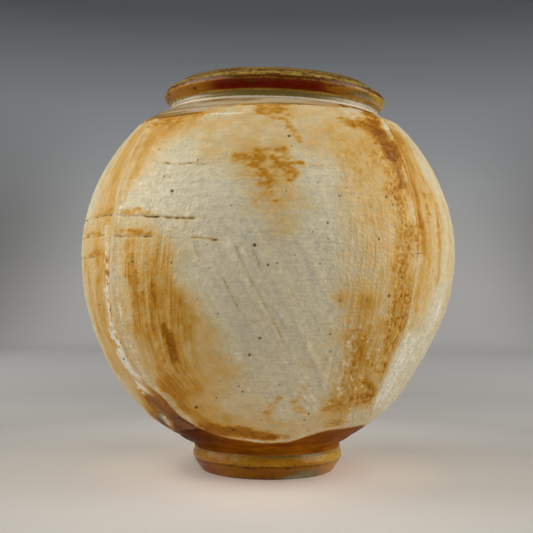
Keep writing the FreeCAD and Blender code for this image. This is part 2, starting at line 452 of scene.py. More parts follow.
# Colours, linear
FIRED_SLIP = [(0.0, (0.68, 0.605, 0.42)), (0.16, (0.67, 0.565, 0.345)), (0.34, (0.66, 0.45, 0.185)),
              (0.52, (0.60, 0.33, 0.065)), (0.68, (0.47, 0.205, 0.012)), (0.84, (0.30, 0.095, 0.002)),
              (1.0, (0.13, 0.026, 0.001))]
FIRED_CLAY = [(0.0, (0.075, 0.015, 0.001)), (0.3, (0.235, 0.062, 0.0015)), (0.55, (0.40, 0.15, 0.004)),
              (0.8, (0.62, 0.36, 0.10)), (1.0, (0.62, 0.50, 0.32))]
CREAM_GREY = (0.57, 0.525, 0.40)
CHALK = (0.86, 0.83, 0.71)
SOOT = (0.05, 0.028, 0.010)
JOINING_SLIP = ((0.30, 0.20, 0.09), (0.20, 0.10, 0.03))
WARM_SHEEN = (1.0, 0.74, 0.36)
AMBER_SHEEN = (1.0, 0.55, 0.06)

# Lip, neck and foot: olive to khaki, under patches of these with how far coarse and fine grain break them up
OLIVE = (0.215, 0.115, 0.006)
KHAKI = (0.40, 0.275, 0.05)
GLAZE_PATCHES = {
    "amber": ((0.33, 0.125, 0.003), 0.4, 0.2),
    "gold": ((0.47, 0.26, 0.02), 0.5, 0.3),
    "rust": ((0.14, 0.0015, 0.0005), 0.3, 0.2),
    "umber": ((0.085, 0.022, 0.001), 0.5, 0.9),
    "ash": ((0.165, 0.115, 0.03), 0.3, 0.3),
    "chalk": ((0.60, 0.53, 0.39), 0.3, 0.3),
}


def slip_material():
    """White slip brushed over iron-bearing clay, flushed from cream to orange and brown by the fire."""
    m = Paint("white_slip_flashed")
    p = m.position()
    fine = m.grain(p, 0.7, 3.0, 0.65)
    peel = m.grain(p, 1.6, 3.0, 0.55)
    middle = m.grain(p, 3.4, 4.0, 0.62, 0.4)
    wide = m.grain(p, 14.0, 4.0, 0.6, 0.6)
    level = m.grain(m.position((0.12, 0.12, 1.0)), 1.3, 4.0, 0.65, 0.8)
    upright = m.grain(m.position((1.0, 1.0, 0.08)), 1.4, 4.0, 0.65, 0.6)
    lie = m.attribute("lie")
    strands = level * (1.0 - lie) + upright * lie
    fired = m.attribute("fire")
    fired = fired + (fine + middle - 1.0) * (fired * 0.55)
    fire = jitter(fired, (middle, 0.10), (fine, 0.12), (wide, 0.16), (strands, 0.26))
    colour = m.ramp(fire, FIRED_SLIP)
    ash = m.ranged(jitter(m.attribute("ash"), (wide, 0.8), (middle, 0.3)), 0.1, 0.9, 0.0, 0.75)
    colour = m.mix(ash * m.ranged(fire, 0.1, 0.4, 1.0, 0.0), colour, CREAM_GREY)
    chalk = m.patches("chalk", ((middle, 0.7), (fine, 0.5)), 0.25, 0.75, 0.85)
    colour = m.mix(chalk * m.ranged(fire, 0.3, 0.65, 1.0, 0.15), colour, CHALK)
    soot = m.ranged(jitter(m.attribute("soot"), (fine, 0.35)), 0.12, 0.75, 0.0, 0.9)
    colour = m.mix(soot, colour, SOOT)
    weave_and_shade = strands * 0.28 + (fine + middle) * 0.36
    # The colour is darkened where the weave's bump is low and lightened where it is high: painted shade and
    # highlight on the brush texture.
    colour = m.mix(1.0, colour, m.ranged(weave_and_shade, 0.35, 0.65, 0.76, 1.14), "MULTIPLY")
    height = weave_and_shade * 0.6 + (peel + middle * 0.4)
    m.bump(height * m.ranged(jitter(wide, (lie, 0.3)), 0.3, 0.7, 0.35, 0.95), 0.9, 0.95)
    m.shade({"Base Color": colour, "Roughness": m.ranged(jitter(wide, (peel, 0.5)), 0.25, 0.75, 0.46, 0.30),
             "Specular IOR Level": 0.11, "Specular Tint": WARM_SHEEN})
    return m.material


def clay_material():
    """Toasted stoneware, rust brown to gold, with iron spots and turning lines."""
    m = Paint("toasted_stoneware")
    p = m.position()
    lines = m.grain(m.position((0.06, 0.06, 1.0)), 0.9)
    fine = m.grain(p, 0.8, 4.0, 0.6)
    middle = m.grain(p, 4.0, 4.0, 0.6, 0.5)
    colour = m.ramp(jitter(m.attribute("fire"), (middle, 0.25), (lines, 0.3), (fine, 0.2)), FIRED_CLAY)
    colour = m.mix(m.patches("chalk", ((middle, 0.8), (fine, 0.5)), 0.3, 0.7, 0.9), colour, CHALK)
    colour = m.mix(m.ranged(fine, 0.66, 0.74, 0.0, 0.7), colour, SOOT)
    soot = m.ranged(jitter(m.attribute("soot"), (fine, 0.35), (middle, 0.3)), 0.1, 0.85, 0.0, 0.9)
    m.bump(lines * 0.6 + (fine + middle), 0.35, 0.7)
    m.shade({"Base Color": m.mix(soot, colour, SOOT), "Roughness": m.ranged(middle, 0.3, 0.7, 0.34, 0.5),
             "Specular IOR Level": 0.015, "Specular Tint": AMBER_SHEEN})
    return m.material


def glaze_material():
    """Natural ash glaze over the lip, neck and foot."""
    m = Paint("natural_ash_glaze")
    p = m.position()
    fine = m.grain(p, 0.8, 4.0, 0.65)
    middle = m.grain(p, 3.5, 4.0, 0.62, 0.6)
    rings = m.grain(m.position((0.05, 0.05, 1.0)), 1.1)
    colour = m.mix(m.ranged(jitter(middle, (rings, 0.5)), 0.3, 0.7), OLIVE, KHAKI)
    for name, (tint, coarse_break, fine_break) in GLAZE_PATCHES.items():
        share = m.patches(name, ((middle, coarse_break), (fine, fine_break)), 0.1, 0.9, 1.0)
        colour = m.mix(share, colour, tint)
    colour = m.mix(1.0, colour, m.ranged(rings, 0.25, 0.75, 0.86, 1.12), "MULTIPLY")
    colour = m.mix(1.0, colour, m.ranged(fine, 0.3, 0.7, 0.78, 1.18), "MULTIPLY")
    m.bump(rings * 0.5 + (fine + middle), 0.35, 0.7)
    m.shade({"Base Color": colour, "Roughness": m.ranged(middle, 0.3, 0.7, 0.22, 0.36),
             "Specular IOR Level": 0.2, "Specular Tint": AMBER_SHEEN,
             "Coat Weight": 0.16, "Coat Roughness": 0.16})
    return m.material


def luting_material():
    """Joining slip that dried lighter and coarser than the clay."""
    m = Paint("joining_slip")
    p = m.position()
    fine = m.grain(p, 0.7, 4.0, 0.65)
    colour = m.mix(m.ranged(m.grain(p, 5.0), 0.35, 0.65), *JOINING_SLIP)
    colour = m.mix(1.0, colour, m.ranged(fine, 0.3, 0.7, 0.7, 1.25), "MULTIPLY")
    m.bump(fine, 0.2, 0.7)
    m.shade({"Base Color": colour, "Roughness": m.ranged(fine, 0.3, 0.7, 0.5, 0.75)})
    return m.material


slip_finish = slip_material()
clay_finish = clay_material()
glaze_finish = glaze_material()
luting_finish = luting_material()


# Slip coats

def listed(text):
    """Entries parted by semicolons, each of words and numbers and then points written as across,height."""
    entries = []
    for entry in text.split(";"):
        parts = entry.split()
        head = [part if part.isalpha() else float(part) for part in parts if "," not in part]
        points = [tuple(float(number) for number in part.split(",")) for part in parts if "," in part]
        entries.append((*head, points))
    return entries


# Places on a panel are measured across from its middle and up from the table, as seen square on.
# A mark is a kind, its strength, its half width and the points of a line.
# The long thin rib line down the left border is painted highlight along the ridge, and the rib line along the
# lifted lower-left edge is pale slip painted paler as a highlight.
MARKS_FRONT = listed("""
    wash 0.26 12 -6,208 6,196 10,182 8,172; web 0.5 7 -8,206 2,196 7,186;
    smear 0.85 3 6,211 12,206 16,201; web 0.45 9 10,198 8,176;
    wash 0.5 4.5 -66,70 -57,60 -50,50 -41,42 -30,37; wash 0.46 4.5 -97,172 -97,130 -88,88 -74,64;
    wash 0.36 9 88,200 92,165 90,130 84,104; wash 0.28 10 -30,216 20,226 50,222;
    wash 0.3 5 -40,246 0,250 50,250; wash 0.42 20 -78,148 -68,105 -50,62;
    wash 0.3 11 -84,205 -74,232 -30,242; wash 0.5 8 -86,214 -74,234 -50,244;
    wash 0.32 14 -20,238 30,236 62,224; wash 0.3 14 70,205 70,150 62,100; wash 0.24 12 0,212 12,188;
    wash 0.3 6 -32,44 20,42 46,46; wash 0.42 4 -90,212 -95,190 -96,176;
    wash 0.26 16 -54,110 -30,74 -20,60; smear 0.75 2.2 -10,36 4,37 14,36; smear 0.95 3.5 2,250 11,251;
    smear 0.95 2.9 -2,245 12,245; smear 0.8 2.3 0,240 10,240; smear 0.9 2 8,240 14,231 21,224;
    smear 0.5 1.4 -2,235 6,233; smear 0.5 1.4 -18,241 -2,244; smear 0.9 2.6 -15,213 -5,216 -2,212;
    smear 0.85 1.9 -2,217 11,217 16,209 22,208; smear 0.95 3.2 -6,210 -1,204 4,199;
    smear 0.5 2.3 -4,203 12,205; smear 0.8 2.3 0,195 5,192 8,186; smear 0.3 4.6 7,198 21,189;
    smear 0.28 4.6 -8,182 22,182; smear 0.4 1 22,208 48,208; smear 0.3 3.5 -11,195 -1,190;
    smear 0.85 1.9 -63,245 -53,247 -43,244; smear 0.95 3.5 -78,242 -67,246;
    smear 0.6 4.6 -69,239 -75,229 -79,219; smear 0.8 2.3 -64,243 -58,244;
    smear 0.45 1.2 -41,225 -32,225; smear 0.4 1.7 -39,222 -39,217; streak 0.35 3.5 -80,214 -86,201;
    smear 0.8 1.3 -93,180.5 -84,180 -77,181; smear 0.7 1.2 -77,178.5 -65,177;
    smear 0.85 1.6 -93,167 -71,166; smear 0.55 1.2 -71,165 -64,163;
    streak 0.85 5.2 -87,157 -78,130 -74,118; streak 0.6 5.2 -77,155 -68,130 -60,111;
    streak 0.5 5.2 -64,147 -58,124; wash 0.5 7.5 -61,133 -50,112 -46,96;
    wash 0.36 8.1 -48,124 -30,93 -24,80; streak 0.8 5.2 -72,112 -62,92 -52,69;
    streak 0.5 5.2 -81,104 -70,77 -55,58; wash 0.45 5.8 -54,69 -42,51 -26,43;
    web 0.35 5.8 -37,70 -24,64; dark 1.1 2.1 -62,106 -59,99 -56,88; dark 0.7 1 -71,141 -69,133;
    dark 0.6 1.3 -77,131 -74,119; dark 0.75 0.9 -69,128 -67,120; dark 0.7 0.8 -58,87 -55,78;
    dark 0.5 0.9 -72,108 -68,102; dark 0.5 0.8 -52,78 -50,70; dark 0.5 0.9 -84,154 -79,146;
    dark 1 2.6 68,253 72,250; dark 1.15 3.4 71,243 76,234 81,224 84,218; dark 0.95 3.4 60,241 70,233;
    dark 0.9 2 80,228 85,212 88,200; dark 0.75 2.9 68,244 74,229; smear 0.6 3.5 51,243 63,247;
    web 0.6 8.1 47,230 61,210; web 0.8 5.2 72,223 81,204; web 0.5 3.5 36,236 41,227;
    web 0.45 4.6 50,204 54,198; web 0.5 5.2 65,201 67,178; web 0.7 3.5 81,212 88,201;
    wash 0.3 17.4 67,221 72,168 68,125; wash 0.36 12 64,106 60,80 54,58;
    web 0.5 6.4 84,192 92,163 90,132 86,109; wash 0.42 2.9 49,127 65,125; wash 0.32 5.8 54,121 76,131;
    smear 0.6 1.7 81,149 82,118; web 0.38 4 55,92 50,72; smear 0.5 2.4 46,56 56,60;
    web 0.6 4.6 65,97 67,83; dark 0.7 2.3 64,70 74,64; dark 0.75 1.4 57,62 72,62;
    dark 0.6 1.2 60,57 69,58; dark 0.65 1.7 79,101 77,92; dark 0.5 1.7 83,111 80,103;
    dark 0.5 1.7 76,85 74,78; smear 0.7 2.9 40,55 50,50; smear 0.85 1.7 41,42 54,45;
    smear 0.4 2.3 26,83 31,85; smear 0.6 2.3 24,69 22,61 25,54; smear 0.6 2.9 9,61 4,51;
    smear 0.35 2.9 -7,54 7,50; wash 0.3 4.6 -46,41 -16,40; dark 1 2.6 -34,37 -9,38 4,36;
    dark 0.8 1.8 -46,41 -29,39; soot 0.35 1.2 2,35 16,35; smear 0.5 2.3 53,51 66,59;
    chalk 0.35 4.6 -2,230 16,233; chalk 0.5 2.3 -39,242 -10,247; chalk 0.3 5.8 -8,100 -1,68;
    chalk 0.35 5.8 23,81 30,61; chalk 0.3 4.1 12,100 18,90; chalk 0.4 7 -73,200 -65,183;
    chalk 0.35 5.8 -58,172 -39,168; chalk 0.7 1.3 -26,32 17,31; chalk 0.3 5.2 34,161 41,137;
    mottle 0.44 10 60,100 57,78 50,58; mottle 0.32 7 72,108 68,80; grit 0.36 11 62,104 58,80 50,56;
    line 0.38 2.6 93,138 89,112 81,90 72,68 68,54; dark 0.5 1 71,66 69,52;
    rib 0.34 1.3 -78,240 -83,224 -91.5,200 -93.5,176 -94.5,155 -95,131 -91.5,103 -84,81 -73,63;
    rib 0.34 3.4 -94,160 -94,131 -90,103 -83,81 -72,67;
    rib 0.4 0.9 -73,68 -65.5,61 -61,57 -57,51 -52,46 -45,41; line 0.3 3 -66,66 -58,58 -50,50;
    chalk 0.35 2.9 46,71 54,97; chalk 0.4 1.7 54,45 69,53; ash 0.5 30 0,165 4,90 10,62;
    soot 0.22 1.6 -60,193 -57,190; soot 0.25 1.3 -41,211 -41,207; soot 0.22 1.8 -4,156 -8,149;
    soot 0.16 1.4 -34,176 -20,175; ash 0.35 14 30,110 28,75
""")
MARKS_RIGHT = listed("""
    soot 0.2 14 -60,238 -72,222 -78,206; wash 0.2 12 -56,238 -72,220 -80,200;
    wash 0.45 2 -66,240 -79,225 -89,201 -93,178 -93,150;
    line 0.5 2.6 -72,236 -79,225 -89,201 -93,178 -94,156;
    line 0.27 8 -64,240 -76,220 -88,190 -90,150 -86,112; ash 0.7 9 -58,238 -72,214;
    streak 0.6 2.4 -62,238 -76,210; smear 0.75 1.6 -80,196 -86,176; smear 0.7 1.4 -70,190 -78,168;
    rib 0.4 5 -84,100 -76,76 -66,58; wash 0.4 3 -95,150 -93,120; streak 0.62 3 -70,205 -77,170 -76,140;
    smear 0.45 6 -66,240 -76,222 -80,200; smear 0.6 2.2 -95,205 -98,185 -97,160;
    smear 0.5 1.6 -97,165 -92,120; smear 0.55 2.4 -60,246 -78,222; wash 0.22 14 -70,225 -82,180 -78,150;
    streak 0.4 5 -76,215 -86,180 -84,150; streak 0.45 4 -66,200 -74,150;
    streak 0.4 8 -40,215 -50,160 -44,110; wash 0.4 20 10,200 24,120 20,70;
    streak 0.6 8 30,200 40,130 34,80; smear 0.85 4 -10,232 8,228 20,216; smear 0.7 3 -4,222 12,208;
    web 0.6 9 60,90 50,60; dark 0.8 2 36,128 38,108; dark 0.6 1.4 26,150 28,132;
    dark 0.9 3 66,244 74,232; dark 0.7 1.5 -20,37 16,35; chalk 0.75 7 -80,95 -66,60;
    chalk 0.6 8 -64,120 -52,60 -30,45; chalk 0.5 9 0,120 -6,80; ash 0.4 22 -10,190 -10,90
""")
MARKS_BACK = listed("""
    wash 0.4 16 60,200 70,140 54,80; streak 0.65 8 70,180 76,130 60,80; web 0.7 9 -70,110 -58,66;
    web 0.6 8 -80,170 -84,130; smear 0.9 3.5 -30,226 -10,230 0,222; smear 0.8 3 -34,214 -16,206 -8,200;
    smear 0.75 3 26,238 50,236 58,226; wash 0.35 14 -76,226 -70,190; dark 0.9 2.2 62,128 60,110;
    dark 0.7 1.4 72,150 70,136; dark 0.8 3 -66,246 -78,226; dark 0.7 1.5 -24,34 20,33;
    smear 0.6 3 10,60 24,54; smear 0.5 2.5 -14,56 -4,64; chalk 0.5 8 -30,130 -20,90;
    chalk 0.5 6 30,190 46,176; ash 0.5 26 0,170 0,90
""")
# Low on its right, under the front panel's overhanging edge, the dark, burnt and soot marks are painted
# shadow.
MARKS_LEFT = listed("""
    wash 0.78 9 86,62 72,46 50,37; burnt 0.96 4.2 80,62 77,52 72,44 60,38 46,35;
    chalk 1.1 1.9 80,92 76,80 74,70 76,62; dark 1 1.5 66,56 56,46 40,38;
    soot 0.6 1.8 76,63 66,51 54,42 38,36; chalk 0.7 1 58,40 46,35; wash 0.28 8 84,140 80,100 70,70;
    streak 0.8 3.4 76,66 62,50 44,38; dark 1 2.6 73,60 64,50 52,42 40,37;
    dark 1.1 3 78,68 78,60 75,52 72,44 70,37; soot 0.4 1.6 77,62 74,52 72,43;
    crumb 0.9 1.6 64,50 60,44 54,39; dark 0.9 1.6 62,42 52,36; wash 0.32 12 70,230 88,190 88,150;
    smear 0.6 2 92,157 96,150; wash 0.3 15 60,235 84,190 80,130 66,75;
    streak 0.55 4 76,205 84,150 74,90; streak 0.55 6 58,170 60,120 50,80;
    wash 0.35 20 0,210 10,140 0,80; smear 0.7 1.4 62,180 94,181; smear 0.7 1.4 60,167.5 94,167.5;
    smear 0.7 1.6 70,154 94,154; smear 0.85 4 -30,226 -10,230 6,220; smear 0.6 3 -24,214 -6,206;
    web 0.65 9 -66,120 -56,70; streak 0.55 7 -70,200 -76,150; dark 0.8 1.6 -20,130 -22,110;
    dark 0.9 2.2 66,53 58,45 46,39; dark 0.8 2.4 50,50 36,40; streak 0.7 5 70,62 56,50 30,36;
    crumb 1.1 1.5 93,153 91,131 83,103; crumb 1.2 3 82,103 75,81 70,64; rib 0.8 2 74,84 71,70;
    rib 0.5 1.6 89,128 82,106; line 0.42 5 62,244 76,224 85,200 92,176 93,160;
    line 0.3 12 84,150 78,110 68,76; streak 0.5 2.5 80,140 74,100 64,64;
    streak 0.45 2 66,170 64,120 54,74; ash 0.5 12 40,236 62,216 70,196;
    streak 0.4 3 56,226 68,200 72,180; dark 1 1.9 91,150 93.5,149; dark 1 1.7 91,141 93,140;
    chalk 0.7 2.6 94,170 93,150; chalk 0.6 2 60,44 50,40; chalk 0.4 8 -30,100 -20,70;
    ash 0.3 20 0,180 0,100; chalk 1.3 2.4 80,94 76,82 75,72 77,64; chalk 0.9 1.4 60,45 52,40
""")

# Lines pressed or dragged in the wet slip: (depth, half width, darkness, points). A negative depth raises a
# band, and a negative darkness paints it paler as painted highlight.
GROOVES_FRONT = listed("""
    0.6 0.6 0.6 -74,213 -60,210 -42,209 -34,208; 0.4 0.5 0.4 -24,207 -12,208;
    0.9 0.75 0.75 -97,178 -72,176 -52,174 -41,174; 0.8 0.8 0.8 -38,174.5 -33,174;
    0.8 0.7 0.7 -97,164 -67,163; 0.7 0.6 0.6 -61,163 -50,161; 0.8 0.65 0.65 -46,161 -41,162 -25,160;
    0.45 0.7 0.35 -43,159 -38,150; 0.6 0.8 0.45 -25,139 -14,118 -4,108;
    -0.9 2 -0.5 -21,160 -10,136 1,117; -0.7 1.8 -0.35 -14,157 0,130 14,109;
    0.4 1 0.4 -8,159 -4,150 0,138; -0.5 1.4 -0.2 -29,124 -14,106; 0.3 0.8 0.12 11,106 20,94;
    0.25 0.6 0.25 -1,160 22,159; 0.2 0.6 0.2 28,159 47,159; -0.35 1.4 -0.15 35,67 42,94;
    0.6 1 0.34 -17,158 -6,134 5,115 14,96; 0.3 1 0.24 -34,128 -20,104 -2,84; 0.3 0.8 0.2 46,100 40,70;
    0.3 0.9 0.25 8,152 16,132 30,108; -0.4 2.4 -0.4 20,112 32,88 40,66
""")
GROOVES_RIGHT = listed("""
    0.6 0.7 0.5 20,205 60,203 97,206; 0.6 0.7 0.45 28,192 60,191 97,193;
    -0.4 1.4 -0.2 -20,150 -2,116 6,90; 0.35 0.9 0.1 -14,152 4,118
""")
GROOVES_BACK = listed("""
    0.7 0.7 0.6 -97,200 -50,198 12,199; 0.7 0.7 0.6 -97,188 -40,186 2,187;
    -0.4 1.5 -0.2 20,170 0,130 -26,92; 0.35 0.9 0.15 32,166 12,126 -8,96
""")
GROOVES_LEFT = listed("""
    0.7 0.7 0.6 30,178.5 62,178 98,179; 0.7 0.7 0.6 26,165.5 60,165.5 98,165.7;
    0.6 0.7 0.6 24,152 60,151.5 84,152; -0.4 1.4 -0.2 10,150 -4,120 -14,92
""")
# Iron spots that melted out of the slip: across, height, radius
SPECKS_FRONT = [
    (13.7, 227.1, 0.85), (16.3, 220.2, 0.5), (-81.5, 147.7, 0.7), (-56.3, 146.7, 0.7), (-1.7, 101.0, 0.8),
    (-7.3, 90.3, 0.85), (-43.7, 54.2, 0.95), (-18.4, 39.5, 1.0), (-12.2, 66.6, 0.65), (-29.8, 62.0, 0.6),
    (-14.7, 69.9, 0.5), (34.3, 196.4, 0.45), (14.1, 190.7, 0.45), (47.3, 188.7, 0.6), (38.6, 171.5, 0.7),
    (30.1, 165.8, 0.45), (47.8, 124.2, 0.6), (41.4, 103.7, 0.6), (59.7, 106.2, 0.55), (70.7, 162.8, 0.7),
    (28.7, 51.5, 0.6), (-41.6, 211.4, 0.55), (-57.5, 191.7, 0.9), (-62.8, 201.9, 0.6), (-58.7, 200.9, 0.5),
    (-34.8, 157.5, 0.45), (7.9, 146.7, 0.65), (2.5, 145.5, 0.7), (35.7, 146.5, 0.5), (-5.4, 157.4, 1.0),
    (80.1, 184.9, 0.6), (76.2, 189.8, 0.75), (87.0, 139.1, 0.7), (77.9, 127.6, 0.9), (26.2, 47.2, 0.5),
]
# Rough, crawled slip: (strength, half width, points of a line)
CRUST_FRONT = listed("""
    0.95 7 82,195 92,165 89,130 84,100; 0.6 7 56,100 50,60; 0.5 8 70,228 80,205; 0.5 6 72,90 66,64
""")
CRUST_RIGHT = listed("""
    0.5 4 -93,180 -84,120
""")
CRUST_BACK = listed("""
    0.8 8 -80,180 -84,120; 0.5 8 40,80 50,60
""")
CRUST_LEFT = listed("""
    0.9 1.8 93,153 91,131 83,103; 1.1 2.4 82,103 75,81 70,64
""")

SPECKS_RIGHT = [(-30, 170, 0.7), (-50, 120, 0.6)]
SPECKS_BACK = [(-20, 180, 0.9), (40, 110, 0.9), (12, 74, 0.8), (-50, 140, 0.7), (20, 226, 0.7)]
SPECKS_LEFT = [(76, 120, 0.6), (20, 150, 0.8), (92, 134, 0.8), (90, 127, 0.6), (87.5, 117, 0.9),
               (85, 109, 0.6), (82, 101, 0.8), (79, 92, 0.9), (76, 84, 0.7), (73, 75, 0.8), (70.5, 68, 0.6)]

# bare: how far the coat stays back from the ridge on its left and on its right
PANELS = {
    "front": dict(centre=0.0, seed=100, columns=290, rows=320, streaks=0.0, warmth=0.0, bare=(0.4, 0.2),
                  marks=MARKS_FRONT, grooves=GROOVES_FRONT, specks=SPECKS_FRONT, crust=CRUST_FRONT),
    "right": dict(centre=90.0, seed=200, columns=220, rows=260, streaks=0.6, warmth=0.05, bare=(1.0, 0.6),
                  marks=MARKS_RIGHT, grooves=GROOVES_RIGHT, specks=SPECKS_RIGHT, crust=CRUST_RIGHT),
    "back": dict(centre=180.0, seed=300, columns=220, rows=260, streaks=0.15, warmth=0.05, bare=(0.8, 0.8),
                 marks=MARKS_BACK, grooves=GROOVES_BACK, specks=SPECKS_BACK, crust=CRUST_BACK),
    "left": dict(centre=270.0, seed=400, columns=220, rows=260, streaks=0.5, warmth=0.1, bare=(0.6, 0.8),
                 marks=MARKS_LEFT, grooves=GROOVES_LEFT, specks=SPECKS_LEFT, crust=CRUST_LEFT),
}

COAT_STAND = 0.35
BACK_STEP = 10
SPATTER = 300

# Masks of the coat, marks that count as chalk, and how strong and how dark each kind of mark can get
STAINS = ("fire", "chalk", "ash", "soot")
PALE_MARKS = ("rib", "crumb", "grit")
LIMITS = {"smear": 0.68, "web": 0.58, "streak": 0.72, "dark": 0.76}
CAPS = {"dark": 0.8, "burnt": 1.0}
USUAL_CAP = 0.67


def stroke(across, height, points):
    """Distance to a line of points, and how far along it each place is."""
    near = np.full(across.shape, 1e9)
    along = np.zeros_like(across)
    run = 0.0
    for (x0, z0), (x1, z1) in zip(points[:-1], points[1:]):
        length = math.hypot(x1 - x0, z1 - z0)
        t = np.clip(((across - x0) * (x1 - x0) + (height - z0) * (z1 - z0)) / length ** 2, 0.0, 1.0)
        d = np.hypot(across - x0 - t * (x1 - x0), height - z0 - t * (z1 - z0))
        closer = d < near
        near = np.where(closer, d, near)
        along = np.where(closer, run + t * length, along)
        run += length
    return near, along


def upper_edge(angle):
    """Height at which the slip stops under the neck."""
    knots = [-180, -150, -100, -60, -45, -32.5, -25.4, -20.2, -9.5, 13.3, 42.8, 60, 100, 140, 180]
    heights = [249, 251, 250, 247, 245.5, 244.9, 245.9, 249.2, 250.6, 251.1, 254.6, 251, 249, 248, 249]
    return np.interp(signed(angle), knots, heights)


def coat_grid(design):
    """The bare form under one coat: angles, heights, radii and points of its grid."""
    rows, columns = design["rows"], design["columns"]
    across = np.linspace(0.0, 1.0, columns + 1)[None, :]
    up = np.linspace(0.0, 1.0, rows + 1)[:, None]
    centre = design["centre"]

    def column_at(height):
        gaps = []
        for side, bare in enumerate(design["bare"]):
            run = flat(height, 50.0 * side)
            ragged = noise(run, (9.0, 5.0, 5.0), design["seed"] + side)
            fine = noise(run, (2.2, 5.0, 5.0), design["seed"] + 5 + side)
            gaps.append(np.degrees((0.15 + bare * (1.0 + 0.7 * ragged + 0.3 * fine)) / RIDGE_RADIUS))
        left, right = centre - 45.0 + gaps[0], centre + 45.0 - gaps[1]
        return left + across * (right - left)

    low = np.full(across.shape, 31.0)
    high = np.full(across.shape, 250.0)
    for _ in range(12):
        low = lower_edge(azimuth(column_at(low), low)) + 0.15
        high = upper_edge(azimuth(column_at(high), high))
    run = flat(across * PANEL_SPAN, 0.0)
    fine = 0.5 * noise(run, (2.0, 5.0, 5.0), design["seed"] + 30)
    low += 0.5 * (noise(run, (7.0, 5.0, 5.0), design["seed"] + 20) + fine) + 0.7
    high += 0.9 * (noise(run, (7.0, 5.0, 5.0), design["seed"] + 21) + fine)
    height = height_at(length_at(low) * (1.0 - up) + length_at(high) * up)
    column = column_at(height)
    angle = azimuth(column, height)
    radius = outer_radius(column, angle, height)
    return column, angle, height, radius, place(radius, angle, height)


